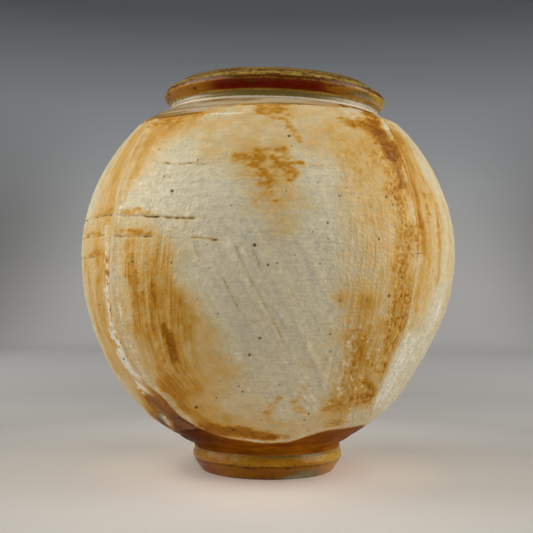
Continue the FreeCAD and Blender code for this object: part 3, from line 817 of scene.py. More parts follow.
def paint_panel(design, column, angle, height, radius, inside):
    """Relief of the slip over the clay and the strength of each colour on it."""
    seed = design["seed"]
    turn = np.radians(angle - design["centre"])
    across = radius * np.sin(turn)
    u, v = turn * radius, length_at(height)

    def grains(width, tall, offset, lean=0.0):
        c, s = math.cos(math.radians(lean)), math.sin(math.radians(lean))
        return noise(flat(c * u + s * v, c * v - s * u), (width, tall, 1.0), seed + offset)

    def upright(width, tall, offset):
        return noise(flat(column * 2.2, v), (width, tall, 1.0), seed + offset)

    level = grains(30.0, 2.0, 2) + 0.6 * grains(12.0, 1.0, 3)
    upper = smooth(150.0, 195.0, height)
    side = np.clip(smooth(34.0, 62.0, np.abs(u)) * (1.0 - 0.75 * upper) + design["streaks"], 0.0, 1.0)
    middle = np.clip(1.0 - upper - side, 0.0, 1.0)
    fibres = 0.8 * upright(1.2, 34.0, 4) + 0.8 * upright(0.75, 14.0, 6)
    slant = 1.1 * grains(3.0, 60.0, 7, 28.0) + 0.6 * grains(1.2, 26.0, 8, 30.0)
    brush = level * (0.25 + 0.75 * upper) + fibres * side * 1.1 + slant * middle
    lumps = rough(flat(u, v), 2.4, seed + 9, 2)
    relief = 0.13 * brush + 0.06 * lumps + 0.10 * grains(7.0, 5.0, 10)

    pebbles = rough(flat(u, v), 2.6, seed + 35, 2)

    # Break the outline of every stain at several scales
    bend_u = 5.0 * grains(17.0, 13.0, 20) + 1.8 * grains(5.0, 3.2, 21) + 0.7 * grains(2.2, 1.6, 22)
    bend_v = 3.0 * grains(19.0, 11.0, 23) + 1.3 * grains(5.0, 3.0, 24) + 0.6 * grains(2.2, 1.4, 25)
    smear = 0.82 + 0.3 * grains(5.0, 2.4, 26) + 0.35 * grains(2.4, 1.5, 27) + 0.2 * grains(11.0, 1.5, 34)
    mesh_u, mesh_v = u + 1.6 * grains(4.0, 4.0, 28), v + 1.6 * grains(4.0, 4.0, 29)
    web = 0.98 - 0.8 * np.abs(noise(flat(mesh_u, mesh_v), (2.5, 2.1, 1.0), seed + 30)) - 0.55 * lumps
    streak = 0.80 + 0.20 * fibres + 0.18 * upright(3.0, 60.0, 31)
    streak = streak + 0.24 * grains(6.0, 9.0, 36) + 0.16 * grains(2.2, 2.6, 37)
    cloud = 0.85 + 0.15 * grains(6.0, 6.0, 32) + 0.22 * fibres * side
    textures = {
        "smear": smear, "web": web, "streak": streak, "wash": cloud, "ash": cloud,
        "dark": 1.0 + 0.15 * fibres + 0.2 * lumps,
        "burnt": 0.95 + 0.2 * fibres,
        "line": 0.95 + 0.12 * fibres,
        "soot": 0.9 + 0.5 * fibres,
        "chalk": 0.6 + 0.25 * brush + 0.2 * lumps,
        "rib": 0.85 + 0.2 * fibres,
        "crumb": 1.1 * smooth(-0.15, 0.25, pebbles),
        "grit": smooth(0.25, 0.5, pebbles),
        "mottle": 0.95 - 0.75 * smooth(0.1, 0.5, pebbles) + 0.2 * lumps,
    }
    values = {key: np.zeros_like(u) for key in STAINS}
    values["fire"] = 0.05 + design["warmth"] + 0.05 * grains(40.0, 50.0, 33)
    values["fire"] = values["fire"] + 0.05 * np.clip(side * fibres, -1, 1)
    for kind, strength, width, points in design["marks"]:
        broad = 0.15 if kind in ("line", "rib") else min(1.0, width / 4.0)
        near, _ = stroke(across + broad * bend_u, height + broad * bend_v, points)
        cover = strength * smooth(2.5, 0.3, near / width)
        texture = np.clip(textures[kind], 0.0, 1.3)
        if kind in PALE_MARKS:
            key = "chalk"
        else:
            key = kind if kind in STAINS else "fire"
        share = cover * texture * LIMITS.get(kind, 1.0)
        mixed = np.maximum(values[key], share) + 0.2 * np.minimum(values[key], share)
        if key == "fire":
            mixed = np.maximum(values[key], np.minimum(mixed, CAPS.get(kind, USUAL_CAP)))
        values[key] = mixed
        if key == "chalk":
            values["fire"] = values["fire"] * (1.0 - 0.8 * np.clip(share, 0.0, 1.0))
    values["lie"] = side
    # Raised brush marks are painted paler and the low ones greyer: painted highlight and shade on the brush
    # relief.
    values["chalk"] = values["chalk"] + 0.18 * smooth(0.3, 1.5, brush)
    values["ash"] = values["ash"] - 0.34 * brush

    soot = values["soot"]
    shaky_u, shaky_v = 0.25 * grains(4.0, 3.0, 40), 0.25 * grains(3.0, 3.0, 41)
    for depth, width, dark, points in design["grooves"]:
        near, along = stroke(across + shaky_u, height + shaky_v, points)
        ends = smooth(0.0, 3.0, along) * smooth(0.0, 3.0, along.max() - along)
        patchy = (0.55 + 0.45 * smooth(-0.6, 0.2, grains(6.0, 6.0, 42))) * (0.3 + 0.7 * ends)
        core = bell(near, width)
        burr = bell(near - 2.0 * width, 0.9 * width) * (0.5 + 0.6 * grains(2.6, 1.6, 43))
        relief = relief - depth * patchy * core + 0.45 * np.maximum(depth, 0.0) * patchy * burr
        if dark > 0.0:
            soot = np.maximum(soot, dark * patchy * core * (0.8 + 0.6 * grains(2.4, 1.2, 44)))
            values["fire"] = np.maximum(values["fire"], 0.5 * dark * patchy * bell(near, 2.2 * width))
        else:
            # A raised band is painted paler: painted highlight along it.
            values["chalk"] = np.maximum(values["chalk"], -dark * patchy * core)
    for x, z, size in design["specks"]:
        spot = bell(np.hypot(across - x + 0.3 * bend_u, height - z), size)
        soot = np.maximum(soot, 1.2 * spot)
        relief = relief - 0.3 * spot
    rng = np.random.default_rng(seed)
    middle_heights = height[:, height.shape[1] // 2]
    for _ in range(SPATTER):
        x, z, size = rng.uniform(-95, 95), rng.uniform(32, 250), rng.uniform(0.3, 0.7)
        lifted = rng.random() < 0.35
        row = int(np.clip(np.searchsorted(middle_heights, z), 4, height.shape[0] - 5))
        col = int(np.clip(np.searchsorted(across[row], x), 4, height.shape[1] - 5))
        window = (slice(row - 4, row + 5), slice(col - 4, col + 5))
        spot = bell(np.hypot(across[window] - across[row, col], height[window] - height[row, col]), size)
        relief[window] += (0.25 if lifted else -0.35) * spot
        if not lifted:
            soot[window] = np.maximum(soot[window], rng.uniform(0.05, 0.8) * spot)
    crusty = np.zeros_like(u)
    for strength, width, points in design["crust"]:
        near, _ = stroke(across + 0.6 * bend_u, height + bend_v, points)
        crusty = np.maximum(crusty, strength * smooth(1.7, 0.3, near / width))
    crust = rough(flat(u, 0.8 * v), 1.7, seed + 14, 2)
    relief = relief + crusty * (0.7 * crust - 0.3 * smooth(0.25, 0.55, crust))
    # The crust's raised grains are painted paler as painted highlight, and its deepest pits are painted
    # darker as painted shade.
    values["chalk"] = values["chalk"] + 0.28 * crusty * smooth(0.1, 0.5, crust)
    values["fire"] = values["fire"] + crusty * (0.05 + 0.22 * smooth(0.1, -0.45, crust))
    soot = np.maximum(soot, 0.42 * crusty * smooth(-0.5, -0.75, crust))
    values["soot"] = soot
    relief = relief + COAT_STAND * smooth(0.0, 1.6, inside) + 0.03
    # The lower border is a thin pale lip of slip, painted paler still as a highlight where its rounded edge
    # catches light
    pale_lip_highlight = smooth(1.3, 0.3, inside) * smooth(60.0, 45.0, height)
    pale_lip_highlight = pale_lip_highlight * smooth(0.74, 0.66, values["fire"])
    values["chalk"] = np.maximum(values["chalk"], 0.55 * pale_lip_highlight)
    return relief, values


def slip_coat(name, design):
    column, angle, height, radius, form = coat_grid(design)
    normals = grid_normals(form)
    rows, columns = form.shape[0], form.shape[1]
    length = length_at(height)
    width = np.radians(90.0) * radius
    share = np.linspace(0.0, 1.0, columns)[None, :]
    from_sides = np.minimum(share, 1.0 - share) * width
    inside = np.minimum(from_sides, np.minimum(length - length[:1], length[-1:] - length))
    relief, values = paint_panel(design, column, angle, height, radius, inside)
    relief = relief + body_relief(column, angle, height, radius)
    outer = form + normals * relief[..., None]
    inner = form - normals * COAT
    total = rows * columns
    # Back vertices: the whole border, and a coarse grid within it
    is_border = np.zeros((rows, columns), bool)
    is_border[[0, -1], :] = True
    is_border[:, [0, -1]] = True
    coarse = np.zeros_like(is_border)
    coarse[::BACK_STEP, ::BACK_STEP] = True
    used = is_border | coarse
    index = np.full((rows, columns), -1)
    index[used] = total + np.arange(used.sum())
    front = np.arange(total).reshape(rows, columns)
    loop = [(0, j) for j in range(columns)] + [(i, columns - 1) for i in range(1, rows)]
    loop += [(rows - 1, j) for j in range(columns - 2, -1, -1)] + [(i, 0) for i in range(rows - 2, 0, -1)]
    here, following = tuple(np.array(loop).T), tuple(np.roll(loop, -1, 0).T)
    skirt = np.stack([front[here], index[here], index[following], front[following]], -1)
    back = []
    for i in range(0, rows - 1, BACK_STEP):
        for j in range(0, columns - 1, BACK_STEP):
            i1, j1 = i + BACK_STEP, j + BACK_STEP
            low = [(i, k) for k in (range(j, j1) if i == 0 else (j,))]
            right = [(k, j1) for k in (range(i, i1) if j1 == columns - 1 else (i,))]
            high = [(i1, k) for k in (range(j1, j, -1) if i1 == rows - 1 else (j1,))]
            left = [(k, j) for k in (range(i1, i, -1) if j == 0 else (i1,))]
            back.append([[index[c] for c in reversed(low + right + high + left)]])
    vertices = np.concatenate([outer.reshape(-1, 3), inner[used]])
    flat_values = {key: np.concatenate([value.ravel(), value[used]]) for key, value in values.items()}
    add_mesh("slip_" + name, vertices, [quads(rows, columns, False), skirt] + back, flat_values,
             slip_finish, ["slip_coat_" + name])


for panel_name, panel_design in PANELS.items():
    slip_coat(panel_name, panel_design)


# Clay bowls

def bowl_columns():
    """Column angles, close together at the ridges."""
    near = np.concatenate([np.arange(0.0, 2.0, 0.4), np.arange(2.0, 4.8, 0.7)])
    steps = np.concatenate([-near[:0:-1], near])
    between = np.linspace(near[-1], 90.0 - near[-1], 68)[1:-1]
    return np.concatenate([ridge + np.concatenate([steps, between]) for ridge in RIDGES])


COLUMNS = bowl_columns()
UNDERSIDE_LEAN = math.radians(28.5)


def inner_wall(height):
    """Radius of the round inside, with the turned floor's corner rounded off."""
    rise = height - SEAT_HEIGHT - WALL / math.cos(UNDERSIDE_LEAN)
    return np.minimum(profile_radius(height, WALL), SEAT_RADIUS + rise / math.tan(UNDERSIDE_LEAN))


def bowl_outside(heights):
    """Points and colour masks of the outside for rows of heights."""
    columns = COLUMNS[None, :] + 0.0 * heights
    angle = azimuth(columns, heights)
    radius = outer_radius(columns, angle, heights)
    form = place(radius, angle, heights)
    across, _ = ridge_distance(columns, radius)
    edge_low = heights - lower_edge(angle)
    edge_high = upper_edge(angle) - heights
    under = smooth(3.5, 7.0, np.abs(across)) * smooth(1.5, 4.0, edge_low) * smooth(1.5, 4.0, edge_high)
    rings = noise(flat(heights, 0.0), (1.3, 5.0, 5.0), 41)
    rings = rings + 0.6 * noise(flat(heights, angle), (0.7, 30.0, 5.0), 42)
    turned = smooth(1.0, -1.0, edge_low) + smooth(1.0, -1.0, edge_high)
    relief = body_relief(columns, angle, heights, radius) * (1.0 - 0.7 * smooth(0.0, -4.0, edge_high))
    relief = relief - (COAT + 0.3) * under + 0.10 * rings * turned
    relief = relief * smooth(SEAT_HEIGHT, SEAT_HEIGHT + 1.5, heights)
    normals = grid_normals(form, True)
    return form + normals * relief[..., None], clay_values(form, angle, heights, edge_low, edge_high)


def clay_values(form, angle, height, edge_low, edge_high):
    """Colour masks of the bare clay by where it is."""
    turning = flat(height, angle)
    angle = signed(angle)
    spread = rough(form, 14.0, 51)
    flecks = rough(form, (5.0, 5.0, 3.0), 52)
    cone = smooth(1.0, -1.0, edge_low)
    top = smooth(1.0, -1.0, edge_high)
    rib = (1.0 - cone) * (1.0 - top)
    golden = smooth(-30.0, 20.0, angle) * smooth(130.0, 60.0, angle)
    dark_side = smooth(-20.0, -60.0, angle) * smooth(-170.0, -110.0, angle)
    low = smooth(30.0, 21.0, height)
    streak = noise(turning, (0.9, 16.0, 5.0), 53) + 0.5 * noise(turning, (2.5, 40.0, 5.0), 54)
    right = bell(angle - 47.0, 12.0)
    left = bell(angle + 47.0, 14.0)
    orange = right * smooth(140.0, 165.0, height) * smooth(256.0, 246.0, height)
    burnt = right * smooth(206.0, 226.0, height)
    strokes = bell(angle + 62.0, 30.0) * smooth(0.2, 0.9, streak + 0.5 * spread)
    last_ridge = smooth(24.0, 40.0, angle) * bell(angle - 42.0, 14.0)
    fire = cone * (0.20 + 0.08 * golden + 0.10 * low - 0.16 * dark_side + 0.14 * spread + 0.08 * streak)
    # Low on the left ridge the bare clay is painted darker, with less chalk and more soot: painted shadow
    # under the front panel's overhanging edge.
    valley_shadow = left * smooth(68.0, 60.0, height)
    fire = fire + rib * (0.90 + 0.12 * spread - 0.22 * orange - 0.12 * burnt + 0.06 * left - 0.82 * valley_shadow)
    band_line = bell(edge_high + 0.6, 1.1) * smooth(-0.3, 0.4, spread + 0.4 * left)
    fire = fire + top * (0.93 + 0.14 * streak + 0.10 * spread - 0.42 * band_line - 0.3 * last_ridge)
    chalk = rib * (0.10 + 0.35 * spread + 0.25 * flecks) * (1.0 - orange) * (1.0 - burnt) * (1.0 - valley_shadow)
    chalk = chalk + 0.7 * cone * strokes
    chalk = chalk + top * np.clip(0.1 + 0.16 * streak, 0.0, 0.6) * (1.0 - band_line)
    pitted = left * smooth(160.0, 145.0, height) * smooth(50.0, 62.0, height)
    soot = rib * (0.75 * pitted * smooth(0.30, 0.55, flecks))
    soot = soot + top * (0.38 + 0.25 * smooth(0.2, -0.9, streak)) * (1.0 - 0.6 * band_line)
    soot = soot + top * 0.9 * bell(angle - 41.0, 5.0) * smooth(0.0, 0.4, flecks)
    soot = soot + 0.25 * cone * smooth(0.3, 0.6, flecks)
    soot = soot + rib * valley_shadow * (0.16 + 0.2 * smooth(0.2, -0.6, streak))
    chalk = np.maximum(chalk, rib * 0.25 * pitted)
    values = {"fire": (fire, 1.1), "chalk": (chalk, 1.0), "soot": (soot, 1.0)}
    return {key: np.clip(value, 0.0, most).ravel() for key, (value, most) in values.items()}


def turned_rows(radii, heights):
    """Points of whole turns, one for each radius and height."""
    angle = COLUMNS[None, :]
    radii = np.asarray(radii, float).reshape(-1, 1)
    return place(radii + 0.0 * angle, angle + 0.0 * radii, heights + 0.0 * angle)


def interior_rows(heights):
    angle = COLUMNS + 0.0 * heights
    spiral = np.sin(2.0 * math.pi * (heights / 7.5 + angle / 360.0))
    spiral = spiral + 0.5 * noise(flat(heights, angle), (3.0, 50.0, 5.0), 61)
    flush = smooth(20.0, 8.0, np.abs(heights - WAIST))
    return place(inner_wall(heights) + 0.35 * spiral * flush, angle, heights + 0.0 * angle)


INNER_CLAY = {"fire": 0.42, "chalk": 0.0, "soot": 0.1}


def bowl_values(outside, before, after):
    """Masks for a whole bowl: those of its outside, and plain ones for the vertices before and after it."""
    full = {}
    for key, value in outside.items():
        full[key] = np.concatenate([np.full(before, INNER_CLAY[key]), value, np.full(after, INNER_CLAY[key])])
    return full


def lower_bowl():
    count = len(COLUMNS)
    under_radii = np.array([6, 12, 18, 24, 30, 35, 38.2, 42, 47, 51.5])[:, None]
    swirl = 0.25 * np.sin(under_radii * 1.1) * smooth(39.0, 36.0, under_radii)
    under = turned_rows(under_radii, SEAT_HEIGHT + np.maximum(swirl, 0.0))
    edge = lower_edge(azimuth(COLUMNS[None, :], np.full((1, count), 34.0)))
    cone_heights = SEAT_HEIGHT + (edge - SEAT_HEIGHT) * np.linspace(0.0, 1.0, 36)[:, None]
    rise = np.linspace(0.0, 1.0, 92)[1:, None]
    panel_heights = height_at(length_at(edge) * (1.0 - rise) + length_at(WAIST) * rise)
    outside, values = bowl_outside(np.concatenate([cone_heights, panel_heights]))
    outside[-1, :, 2] = WAIST
    inner_heights = [[WAIST], np.linspace(154.0, 60.0, 42), np.linspace(58.0, FLOOR_HEIGHT + 1.2, 14)]
    wall = interior_rows(np.concatenate(inner_heights)[:, None])
    floor_radii = np.array([54, 50, 45, 39, 33, 27, 21, 15, 9, 4])[:, None]
    ripple = 0.25 * np.cos(floor_radii + np.radians(COLUMNS)) * smooth(2.0, 10.0, floor_radii)
    floor = turned_rows(floor_radii, FLOOR_HEIGHT + 0.2 + ripple)
    points = np.concatenate([under, outside, wall, floor])
    rows = len(points)
    total = rows * count
    vertices = np.concatenate([points.reshape(-1, 3), [[0.0, 0.0, SEAT_HEIGHT], [0.0, 0.0, FLOOR_HEIGHT]]])
    here = np.arange(count)
    following = (here + 1) % count
    bottom = np.stack([np.full(count, total), following, here], -1)
    top = np.stack([np.full(count, total + 1), total - count + here, total - count + following], -1)
    full = bowl_values(values, len(under) * count, (len(wall) + len(floor)) * count)
    # The two middle vertices take their masks from the hidden rows
    full = {key: np.concatenate([value, value[:2]]) for key, value in full.items()}
    add_mesh("clay_lower", vertices, [quads(rows, count, True), bottom, top], full, clay_finish,
             ["lower_bowl"])


def on_seat(points):
    """The same points, lifted or lowered to the shoulder's flat seat."""
    points[..., 2] = MOUTH_HEIGHT - (points[..., 0] - MOUTH_SHIFT) * math.tan(MOUTH_LEAN)
    return points


def upper_bowl():
    count = len(COLUMNS)
    rise = np.linspace(0.0, 1.0, 96)[:, None]
    seat = MOUTH_HEIGHT - SHOULDER_SEAT * np.sin(np.radians(COLUMNS[None, :])) * math.sin(MOUTH_LEAN) - 0.15
    heights = height_at(length_at(WAIST) * (1.0 - rise) + length_at(MOUTH_HEIGHT) * rise)
    heights = WAIST + (heights - WAIST) * (seat - WAIST) / (MOUTH_HEIGHT - WAIST)
    outside, values = bowl_outside(heights)
    outside[0, :, 2] = WAIST
    inner_top = on_seat(turned_rows([TOP_INNER], MOUTH_HEIGHT))
    outer_top = on_seat(outside[-1:].copy())
    ledge = np.concatenate([outer_top * (1.0 - t) + inner_top * t for t in (0.1, 0.5, 1.0)])
    inner_heights = [np.linspace(256.0, 200.0, 30), np.linspace(198.0, WAIST, 22)]
    wall = interior_rows(np.concatenate(inner_heights)[:, None])
    points = np.concatenate([outside, ledge, wall])
    rows = len(points)
    full = bowl_values(values, 0, (len(ledge) + len(wall)) * count)
    faces = [quads(rows, count, True), closing_quads(rows, count)]
    add_mesh("clay_upper", points.reshape(-1, 3), faces, full, clay_finish, ["upper_bowl"])


lower_bowl()
upper_bowl()


# Rings: lip, neck, foot and inner coil, each one closed outline swept round

def through(points, steps):
    """A smooth open line through points."""
    p = np.array(points, float)
    t = np.concatenate([[0.0], np.cumsum(np.sqrt(np.linalg.norm(np.diff(p, axis=0), axis=1)))])
    m = np.gradient(p, t, axis=0)
    out = []
    for k in range(len(p) - 1):
        d = t[k + 1] - t[k]
        s = np.linspace(0.0, 1.0, steps, endpoint=k == len(p) - 2)[:, None]
        h0, h1 = 2 * s ** 3 - 3 * s ** 2 + 1, s ** 3 - 2 * s ** 2 + s
        h2, h3 = -2 * s ** 3 + 3 * s ** 2, s ** 3 - s ** 2
        out.append(h0 * p[k] + h1 * d * m[k] + h2 * p[k + 1] + h3 * d * m[k + 1])
    return np.concatenate(out)


def straight(points, step):
    """A line of corners, divided evenly."""
    out = []
    for (r0, z0), (r1, z1) in zip(points[:-1], points[1:]):
        count = max(1, int(round(math.hypot(r1 - r0, z1 - z0) / step)))
        t = np.linspace(0.0, 1.0, count, endpoint=False)[:, None]
        out.append(np.array([r0, z0]) * (1 - t) + np.array([r1, z1]) * t)
    out.append(np.array([points[-1]]))
    return np.concatenate(out)


def ring_piece(name, outline, columns, relief_at, values_at, material, nodes, mouth=False):
    """A closed outline, counter-clockwise from the axis outwards, swept round."""
    turn = np.linspace(0.0, 360.0, columns, endpoint=False)[None, :]
    angle = turn + 0.0 * outline[:, :1]
    radius, height = outline[:, :1] + 0.0 * turn, outline[:, 1:] + 0.0 * turn
    along = np.roll(outline, -1, 0) - np.roll(outline, 1, 0)
    normal = np.stack([along[:, 1], -along[:, 0]], -1)
    normal = normal / np.maximum(np.linalg.norm(normal, axis=1, keepdims=True), 1e-9)
    relief = relief_at(angle, radius, height)
    points = place(radius + normal[:, :1] * relief, angle, height + normal[:, 1:] * relief)
    if mouth:
        points = from_mouth(points)
    values = values_at(angle, radius, height)
    values = {key: np.clip(value, 0.0, 1.3).ravel() for key, value in values.items()}
    rows = len(outline)
    faces = [quads(rows, columns, True), closing_quads(rows, columns)]
    add_mesh(name, points.reshape(-1, 3), faces, values, material, nodes)


LIP_LOW = 7.8
LIP_ROLL = [(78.8, LIP_LOW), (82.0, 12.66), (79.9, 16.9), (74.3, 19.66), (70.0, 23.0), (66.9, 20.6),
            (66.4, 17.22)]


def lip_relief(angle, radius, height):
    p = place(radius, angle, height)
    free = smooth(LIP_LOW, LIP_LOW + 2.5, height)
    rings = noise(flat(height + 0.5 * radius, angle), (1.4, 60.0, 5.0), 71)
    return free * (0.32 * noise(p, 22.0, 70) + 0.12 * rings + 0.05 * noise(p, 3.0, 72))


def lip_values(angle, radius, height):
    p = place(radius, angle, height)
    spread = rough(p, 12.0, 73, 3)
    flecks = rough(p, (3.0, 3.0, 1.6), 74, 3)
    a = signed(angle)
    outside = smooth(72.0, 74.0, radius)
    left = smooth(-30.0, -62.0, a) * smooth(-140.0, -110.0, a)
    right = smooth(28.0, 50.0, a) * smooth(130.0, 95.0, a)
    far_right = smooth(50.0, 70.0, a) * smooth(120.0, 95.0, a)
    back = smooth(100.0, 140.0, np.abs(a))
    level = height + 0.5 * spread
    under = outside * smooth(13.3, 12.2, level)
    inner = smooth(70.0, 68.5, radius)
    middle = smooth(-40.0, -18.0, a) * smooth(34.0, 16.0, a) + 0.6 * back
    edge_line = outside * bell(level - 14.3, 1.3)
    amber = 0.05 + 0.75 * under * (1.0 - 0.6 * right) + 0.35 * inner + 0.25 * spread
    gold = 0.35 * left * smooth(10.0, 12.0, level) + far_right * smooth(16.5, 12.0, level)
    rust = under * (0.25 + 0.85 * middle) * (1.0 - 0.8 * left) * (1.0 - 0.85 * right)
    umber = edge_line * (1.2 - 0.5 * left) * (0.95 + 0.5 * spread) + 0.8 * smooth(0.1, 0.5, flecks) * outside
    umber = umber + 0.5 * smooth(18.6, 19.6, level) + 0.3 * under * bell(level - 11.8, 1.2) * middle
    ash = 0.8 * under * right * smooth(12.5, 10.5, level) * (1.0 - 0.7 * far_right)
    return {
        "amber": amber + 0.5 * outside * smooth(17.0, 13.5, level),
        "gold": gold + 0.4 * right * under,
        "rust": rust + 0.5 * inner * smooth(18.0, 12.0, height),
        "umber": umber,
        "ash": ash + 0.3 * under * left * smooth(10.5, 9.0, level),
        "chalk": 0.3 * under * right * smooth(11.0, 9.0, level),
    }


def neck_relief(angle, radius, height):
    p = place(radius, angle, height)
    free = smooth(0.4, 1.2, height) * smooth(LIP_LOW, LIP_LOW - 1.0, height)
    return free * (0.15 * noise(p, 20.0, 75) + 0.08 * noise(flat(height, angle), (0.9, 60.0, 5.0), 76))


def neck_values(angle, radius, height):
    p = place(radius, angle, height)
    spread = rough(p, 10.0, 77, 3)
    rings = noise(flat(height, angle), (0.8, 60.0, 5.0), 79)
    level = height + 0.35 * spread
    a = signed(angle)
    inner = smooth(73.0, 71.0, radius)
    outside = 1.0 - inner
    # The neck is painted paler and less dark towards both sides: painted highlight where the side lamps light
    # it.
    ends = smooth(20.0, 48.0, np.abs(a))
    return {
        "amber": 0.7 * smooth(5.4, 6.8, level) + 0.4 * inner,
        "rust": smooth(6.2, 7.4, level) * outside * (1.0 - 0.8 * ends),
        "umber": 0.25 * smooth(4.6, 6.4, level) * (1.0 - 0.7 * ends),
        "ash": smooth(6.6, 4.6, level) * outside * 1.1,
        # The pale band at the neck's foot is painted highlight along its small ridge.
        "chalk": outside * (smooth(2.3, 1.2, level) + 0.55 * ends * smooth(7.0, 4.0, level) + 0.15 * rings),
    }


def foot_relief(angle, radius, height):
    p = place(radius, angle, height)
    outside = smooth(48.0, 50.0, radius) * smooth(0.0, 1.5, height) * smooth(17.1, 16.2, height)
    rings = noise(flat(height, angle), (1.2, 50.0, 5.0), 81)
    crease = -0.35 * bell(height - 9.2, 0.7)
    return outside * (0.3 * noise(p, 18.0, 80) + 0.12 * rings + crease)


def foot_values(angle, radius, height):
    p = place(radius, angle, height)
    spread = rough(p, 12.0, 83, 3)
    flecks = rough(p, (1.9, 1.9, 1.4), 84, 2)
    a = signed(angle)
    outside = smooth(44.0, 48.0, radius)
    level = height + 0.6 * spread
    upper = smooth(8.8, 10.0, level)
    patch = bell(a - 36.0, 15.0) * smooth(7.2, 5.6, level + 1.6 * flecks)
    patch = patch + 0.9 * bell(a - 20.0, 9.0) * smooth(3.4, 2.0, level)
    groove = smooth(14.8, 16.2, height)
    line = bell(height - 9.2, 0.8)
    right = smooth(20.0, 60.0, a) * smooth(160.0, 110.0, a)
    return {
        "amber": outside * (1.0 + 0.2 * spread),
        "gold": outside * (upper * (0.36 + 0.25 * spread) + 0.4 * right + 0.15 * flecks),
        "rust": outside * ((1.0 - upper) * (0.34 - 0.3 * right) + 0.15 * spread + 0.25 * smooth(-30, -60, a)),
        "umber": outside * (0.6 * line + 0.3 * smooth(1.6, 0.4, height) + 0.6 * smooth(0.2, 0.6, flecks)),
        "ash": outside * (patch + groove * (0.35 + 0.6 * bell(a - 30.0, 28.0))),
        "chalk": outside * (0.3 * patch + 0.3 * groove * bell(a - 34.0, 14.0)),
    }


def coil_relief(angle, radius, height):
    free = smooth(129.2, 127.0, radius)
    presses = np.sin(np.radians(angle) * 26.0 + 1.5 * np.sin(np.radians(angle) * 5.0))
    lumps = noise(place(radius, angle, height), 9.0, 90)
    return free * (0.45 * presses * bell(height - WAIST, 7.0) + 0.2 * lumps)


def coil_values(angle, radius, height):
    spread = rough(place(radius, angle, height), 14.0, 91, 3)
    return {"fire": 0.42 + 0.2 * spread, "soot": 0.1 + 0.2 * spread}


lip_flat = straight([LIP_ROLL[-1], (70.0, LIP_LOW), LIP_ROLL[0]], 0.9)
lip_outline = np.concatenate([through(LIP_ROLL, 9), lip_flat[1:-1]])
ring_piece("lip", lip_outline, 420, lip_relief, lip_values,
           glaze_finish, ["rim"], mouth=True)

neck_inside = straight([(70.0, LIP_LOW), (70.0, 0.4), (79.0, 0.4), (79.0, 1.4)], 0.8)
neck_arc = through([(79.0, 1.4), (77.8, 2.8), (77.4, 4.1), (77.8, 6.0), (78.8, LIP_LOW)], 4)
neck_top = straight([(78.8, LIP_LOW), (70.0, LIP_LOW)], 1.2)
neck_outline = np.concatenate([neck_inside[:-1], neck_arc[:-1], neck_top[:-1]])
ring_piece("neck", neck_outline, 360, neck_relief, neck_values,
           glaze_finish, ["neck_collar"], mouth=True)

FOOT_FLANK = [(47.8, 0.0), (48.9, 0.9), (51.6, 5.2), (54.0, 8.6), (54.9, 10.6), (54.7, 13.0), (53.3, 17.1)]
foot_bore = straight([(FOOT_BORE, 17.1), (FOOT_BORE, 0.0), FOOT_FLANK[0]], 1.2)
foot_top = straight([FOOT_FLANK[-1], (FOOT_BORE, 17.1)], 1.2)
foot_outline = np.concatenate([foot_bore[:-1], through(FOOT_FLANK, 5)[:-1], foot_top[:-1]])
ring_piece("foot", foot_outline, 400, foot_relief, foot_values,
           glaze_finish, ["foot_ring"])

COIL_ARC = [(129.5, 146.6), (127.2, 149.0), (125.9, 152.0), (125.6, 155.0), (125.9, 158.0), (127.2, 161.0),
            (129.5, 163.4)]
coil_back = straight([COIL_ARC[0], (129.6, 155.0), COIL_ARC[-1]], 3.0)
coil_outline = np.concatenate([through(COIL_ARC, 3)[::-1][:-1], coil_back[:-1]])
ring_piece("inner_coil", coil_outline, 420, coil_relief, coil_values,
           clay_finish, ["waist_coil"])

for luting in ("waist_luting", "foot_luting", "collar_luting"):
    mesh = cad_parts[luting].data
    mesh.materials.clear()
    mesh.materials.append(luting_finish)


# Camera: close to the front, a little to the right and tilted up a little
FOCAL_PIXELS = 937.0
FRAME_PIXELS = 533.0
SENSOR_WIDTH = 36.0
CAMERA_PLACE = (0.01825, -0.69938, 0.12629)
CAMERA_YAW = math.radians(1.629)
CAMERA_PITCH = math.radians(1.855)
CAMERA_ROLL = math.radians(0.503)

camera_data = bpy.data.cameras.new("camera")
camera_data.sensor_width = SENSOR_WIDTH
camera_data.lens = SENSOR_WIDTH * FOCAL_PIXELS / FRAME_PIXELS
camera = bpy.data.objects.new("camera", camera_data)
bpy.context.scene.collection.objects.link(camera)
camera.rotation_mode = "XYZ"
level = np.array([-math.sin(CAMERA_YAW), math.cos(CAMERA_YAW), 0.0])
forward = math.cos(CAMERA_PITCH) * level + math.sin(CAMERA_PITCH) * np.array([0.0, 0.0, 1.0])
side = np.array([math.cos(CAMERA_YAW), math.sin(CAMERA_YAW), 0.0])
above = np.cross(side, forward)
turned_side = math.cos(CAMERA_ROLL) * side + math.sin(CAMERA_ROLL) * above
turned_above = math.cos(CAMERA_ROLL) * above - math.sin(CAMERA_ROLL) * side
matrix = np.eye(4)
matrix[:3] = np.stack([turned_side, turned_above, -forward, CAMERA_PLACE], -1)
camera.matrix_world = Matrix(matrix.tolist())
bpy.context.scene.camera = camera


# Stage: one pale sheet that runs from floor to wall all round
STAGE_FLAT = 1.6
STAGE_CURVE = 0.9
STAGE_TOP = 3.6

# Colour of the sheet by how far along it from the middle, as a share of STAGE_TOP. The brightest stops round
# the middle are a painted pool of light that lifts the jar's contact shadow.
BACKDROP = [(0.0, (0.90, 0.80, 0.69)), (0.022, (0.84, 0.75, 0.65)), (0.038, (0.64, 0.59, 0.53)),
            (0.06, (0.56, 0.53, 0.48)), (0.09, (0.44, 0.42, 0.385)), (0.16, (0.45, 0.43, 0.405)),
            (0.25, (0.58, 0.56, 0.53)), (0.37, (0.76, 0.74, 0.71)), (0.5, (0.88, 0.86, 0.825)),
            (0.62, (0.86, 0.845, 0.82)), (0.72, (0.78, 0.775, 0.765)), (0.80, (0.69, 0.70, 0.71)),
            (0.90, (0.49, 0.51, 0.54)), (1.0, (0.18, 0.20, 0.22))]


